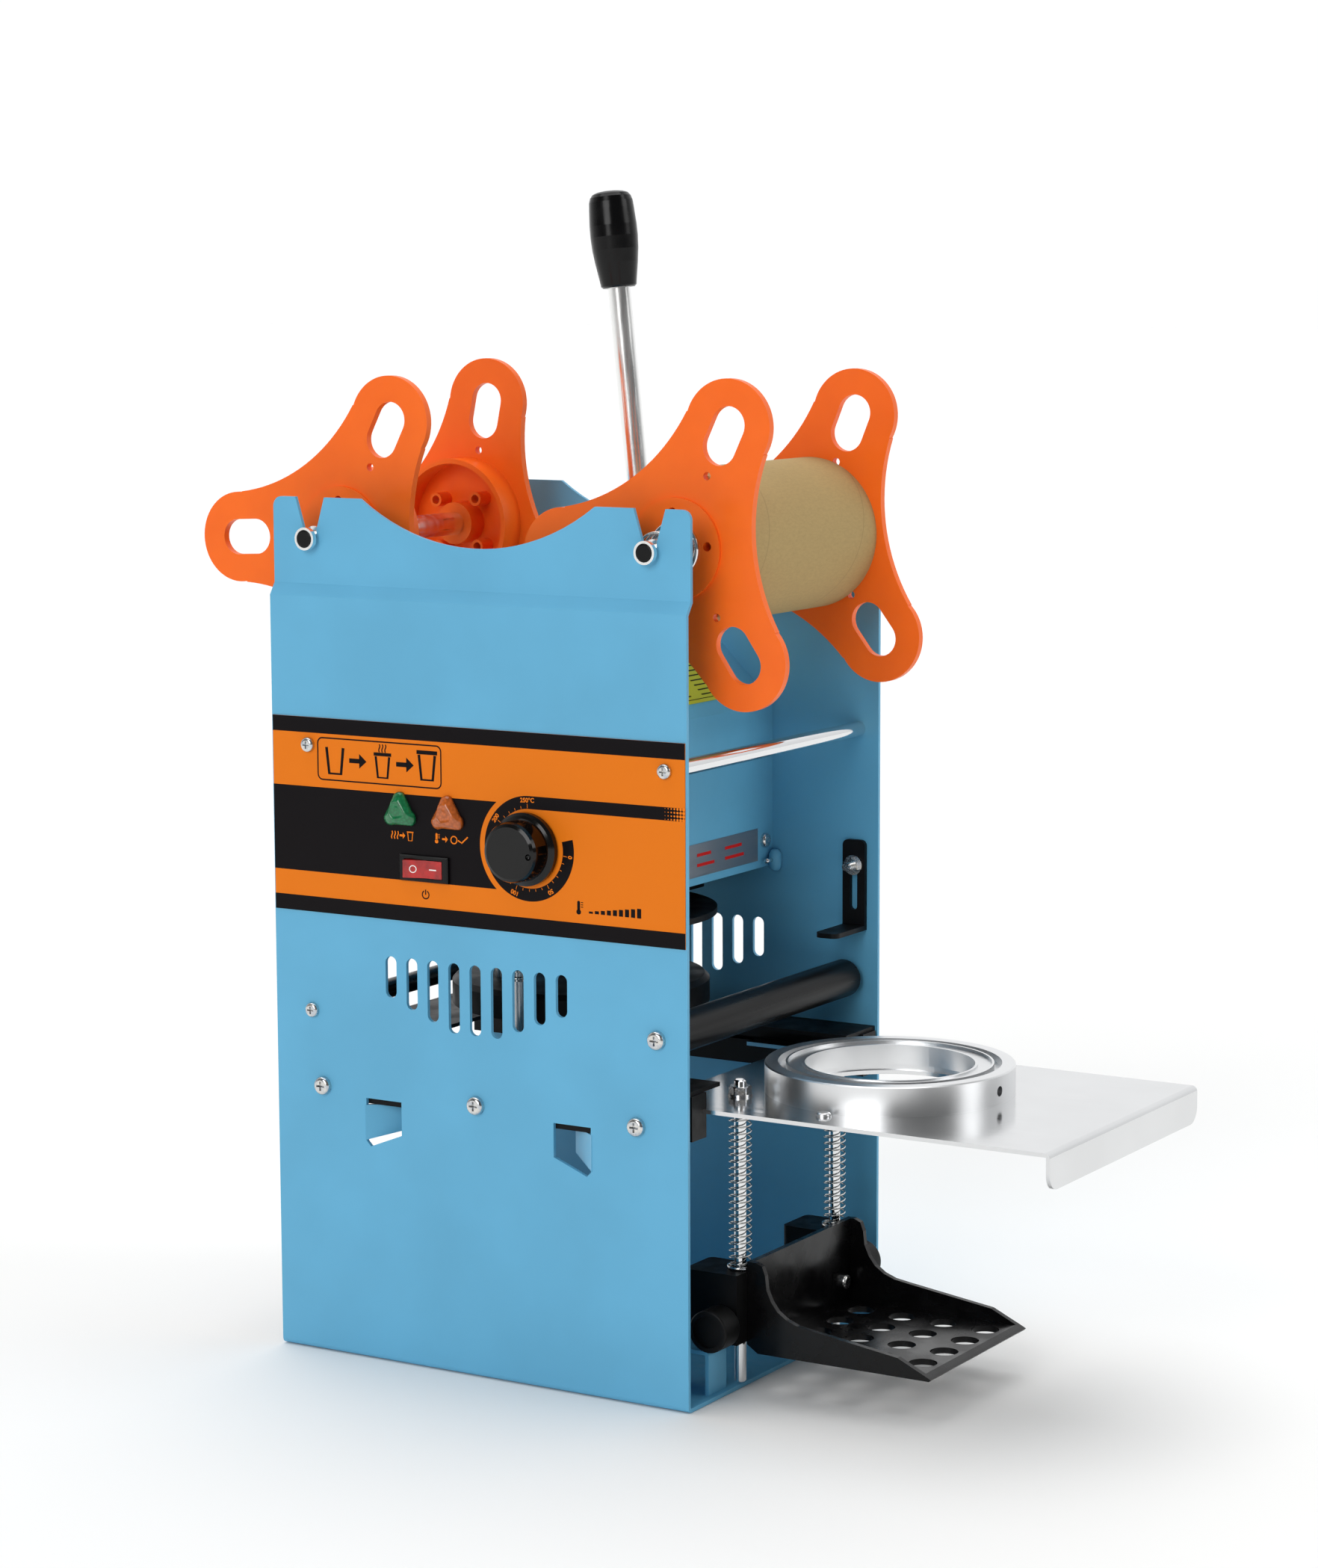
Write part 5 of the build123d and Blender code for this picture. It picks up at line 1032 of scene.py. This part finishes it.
# Direction that each light comes from, its angular size in degrees and its power.
LIGHTS = {"key": ((-1.0, -0.05, 0.42), 35, 1.26), "front": ((0.32, -1.0, 0.50), 30, 0.60),
          "top": ((0.05, 0.12, 1.0), 60, 1.5)}
CAMERA_PLACE = (-1.6161, -1.0299, 0.5471)
CAMERA_TURN = (-58.698, 7.743, -0.229)        # azimuth, elevation and roll in degrees
CAMERA_LENS = 58.07                           # mm, for a sensor 24 mm high


class SealerStage(Operator):
    """Set up the pale floor, the soft lights and the camera"""

    bl_idname = "sealer.stage"
    bl_label = "Stage"

    def execute(self, context):
        scene = context.scene
        bm = bmesh.new()
        bmesh.ops.create_grid(bm, x_segments=1, y_segments=1, size=30)
        mesh = as_mesh(bm, "floor")
        mesh.transform(Matrix.Translation((0, 0, CAD_BOX[0][2] - 0.0003)))
        mesh.materials.append(finish("studio_floor"))
        placed("floor", mesh)
        self.sky(scene)
        for name, (place, angle, power) in LIGHTS.items():
            data = bpy.data.lights.new(name, "SUN")
            data.angle = math.radians(angle)
            data.energy = power
            lamp = placed(name, data)
            lamp.location = Vector(place) * 2
            lamp.rotation_euler = Vector(place).to_track_quat("Z", "Y").to_euler()
        self.camera(scene)
        scene.view_settings.view_transform = "Standard"
        return {"FINISHED"}

    def sky(self, scene):
        """Soft room light: white behind the machine, dimmer on the side that it is seen from."""
        world = bpy.data.worlds.new("studio")
        scene.world = world
        world.use_nodes = True
        tree = world.node_tree
        ground = tree.nodes["Background"]
        way = add(tree, "ShaderNodeTexCoord").outputs["Generated"]
        behind = (0.855, 0.519, 0.0)
        facing = add(tree, "ShaderNodeVectorMath", {0: way, 1: behind}, operation="DOT_PRODUCT")
        level = spread(tree, facing.outputs["Value"], 0.13, 1.02, -0.20, 0.65)
        ground.inputs["Color"].default_value = (0.99, 0.995, 1.0, 1)
        tree.links.new(level, ground.inputs["Strength"])

    def camera(self, scene):
        """A long lens a little above the machine's middle, at its front left."""
        azimuth, elevation, roll = (math.radians(turn) for turn in CAMERA_TURN)
        level = math.cos(elevation)
        back = Vector((math.sin(azimuth) * level, -math.cos(azimuth) * level, math.sin(elevation)))
        right = (-back).cross(Vector((0, 0, 1))).normalized()
        up = right.cross(-back)
        across = right * math.cos(roll) + up * math.sin(roll)
        upward = up * math.cos(roll) - right * math.sin(roll)
        data = bpy.data.cameras.new("camera")
        data.sensor_fit = "VERTICAL"
        data.sensor_height = 24.0
        data.lens = CAMERA_LENS
        data.clip_end = 100.0
        camera = placed("camera", data)
        turn = Matrix((across, upward, back)).transposed().to_4x4()
        camera.matrix_world = Matrix.Translation(CAMERA_PLACE) @ turn
        scene.camera = camera


OPERATORS = (SealerFinishes, SealerPanelPrint, SealerDialMarks, SealerPictograms, SealerLamps,
             SealerSwitchMarks, SealerHoodPrints, SealerFittings, SealerSprings, SealerStage)


class SEALER_PT_parts(Panel):
    """Sizes, colours and steps of the cup sealer"""

    bl_label = "Cup Sealer"
    bl_space_type = "VIEW_3D"
    bl_region_type = "UI"
    bl_category = "Cup Sealer"

    def draw(self, context):
        for name in ("sealer_panel", "sealer_parts", "sealer_colours"):
            group = getattr(context.scene, name)
            box = self.layout.box()
            for key in group.__annotations__:
                box.prop(group, key)
        for operator in OPERATORS:
            self.layout.operator(operator.bl_idname)


CLASSES = (SealerPanelSizes, SealerPartSizes, SealerColours, *OPERATORS, SEALER_PT_parts)


def register():
    for item in CLASSES:
        bpy.utils.register_class(item)
    bpy.types.Scene.sealer_panel = PointerProperty(type=SealerPanelSizes)
    bpy.types.Scene.sealer_parts = PointerProperty(type=SealerPartSizes)
    bpy.types.Scene.sealer_colours = PointerProperty(type=SealerColours)


def unregister():
    del bpy.types.Scene.sealer_colours
    del bpy.types.Scene.sealer_parts
    del bpy.types.Scene.sealer_panel
    for item in reversed(CLASSES):
        bpy.utils.unregister_class(item)


def main():
    register()
    for operator in OPERATORS:
        getattr(bpy.ops.sealer, operator.bl_idname.split(".")[1])()


if __name__ == "__main__":
    main()
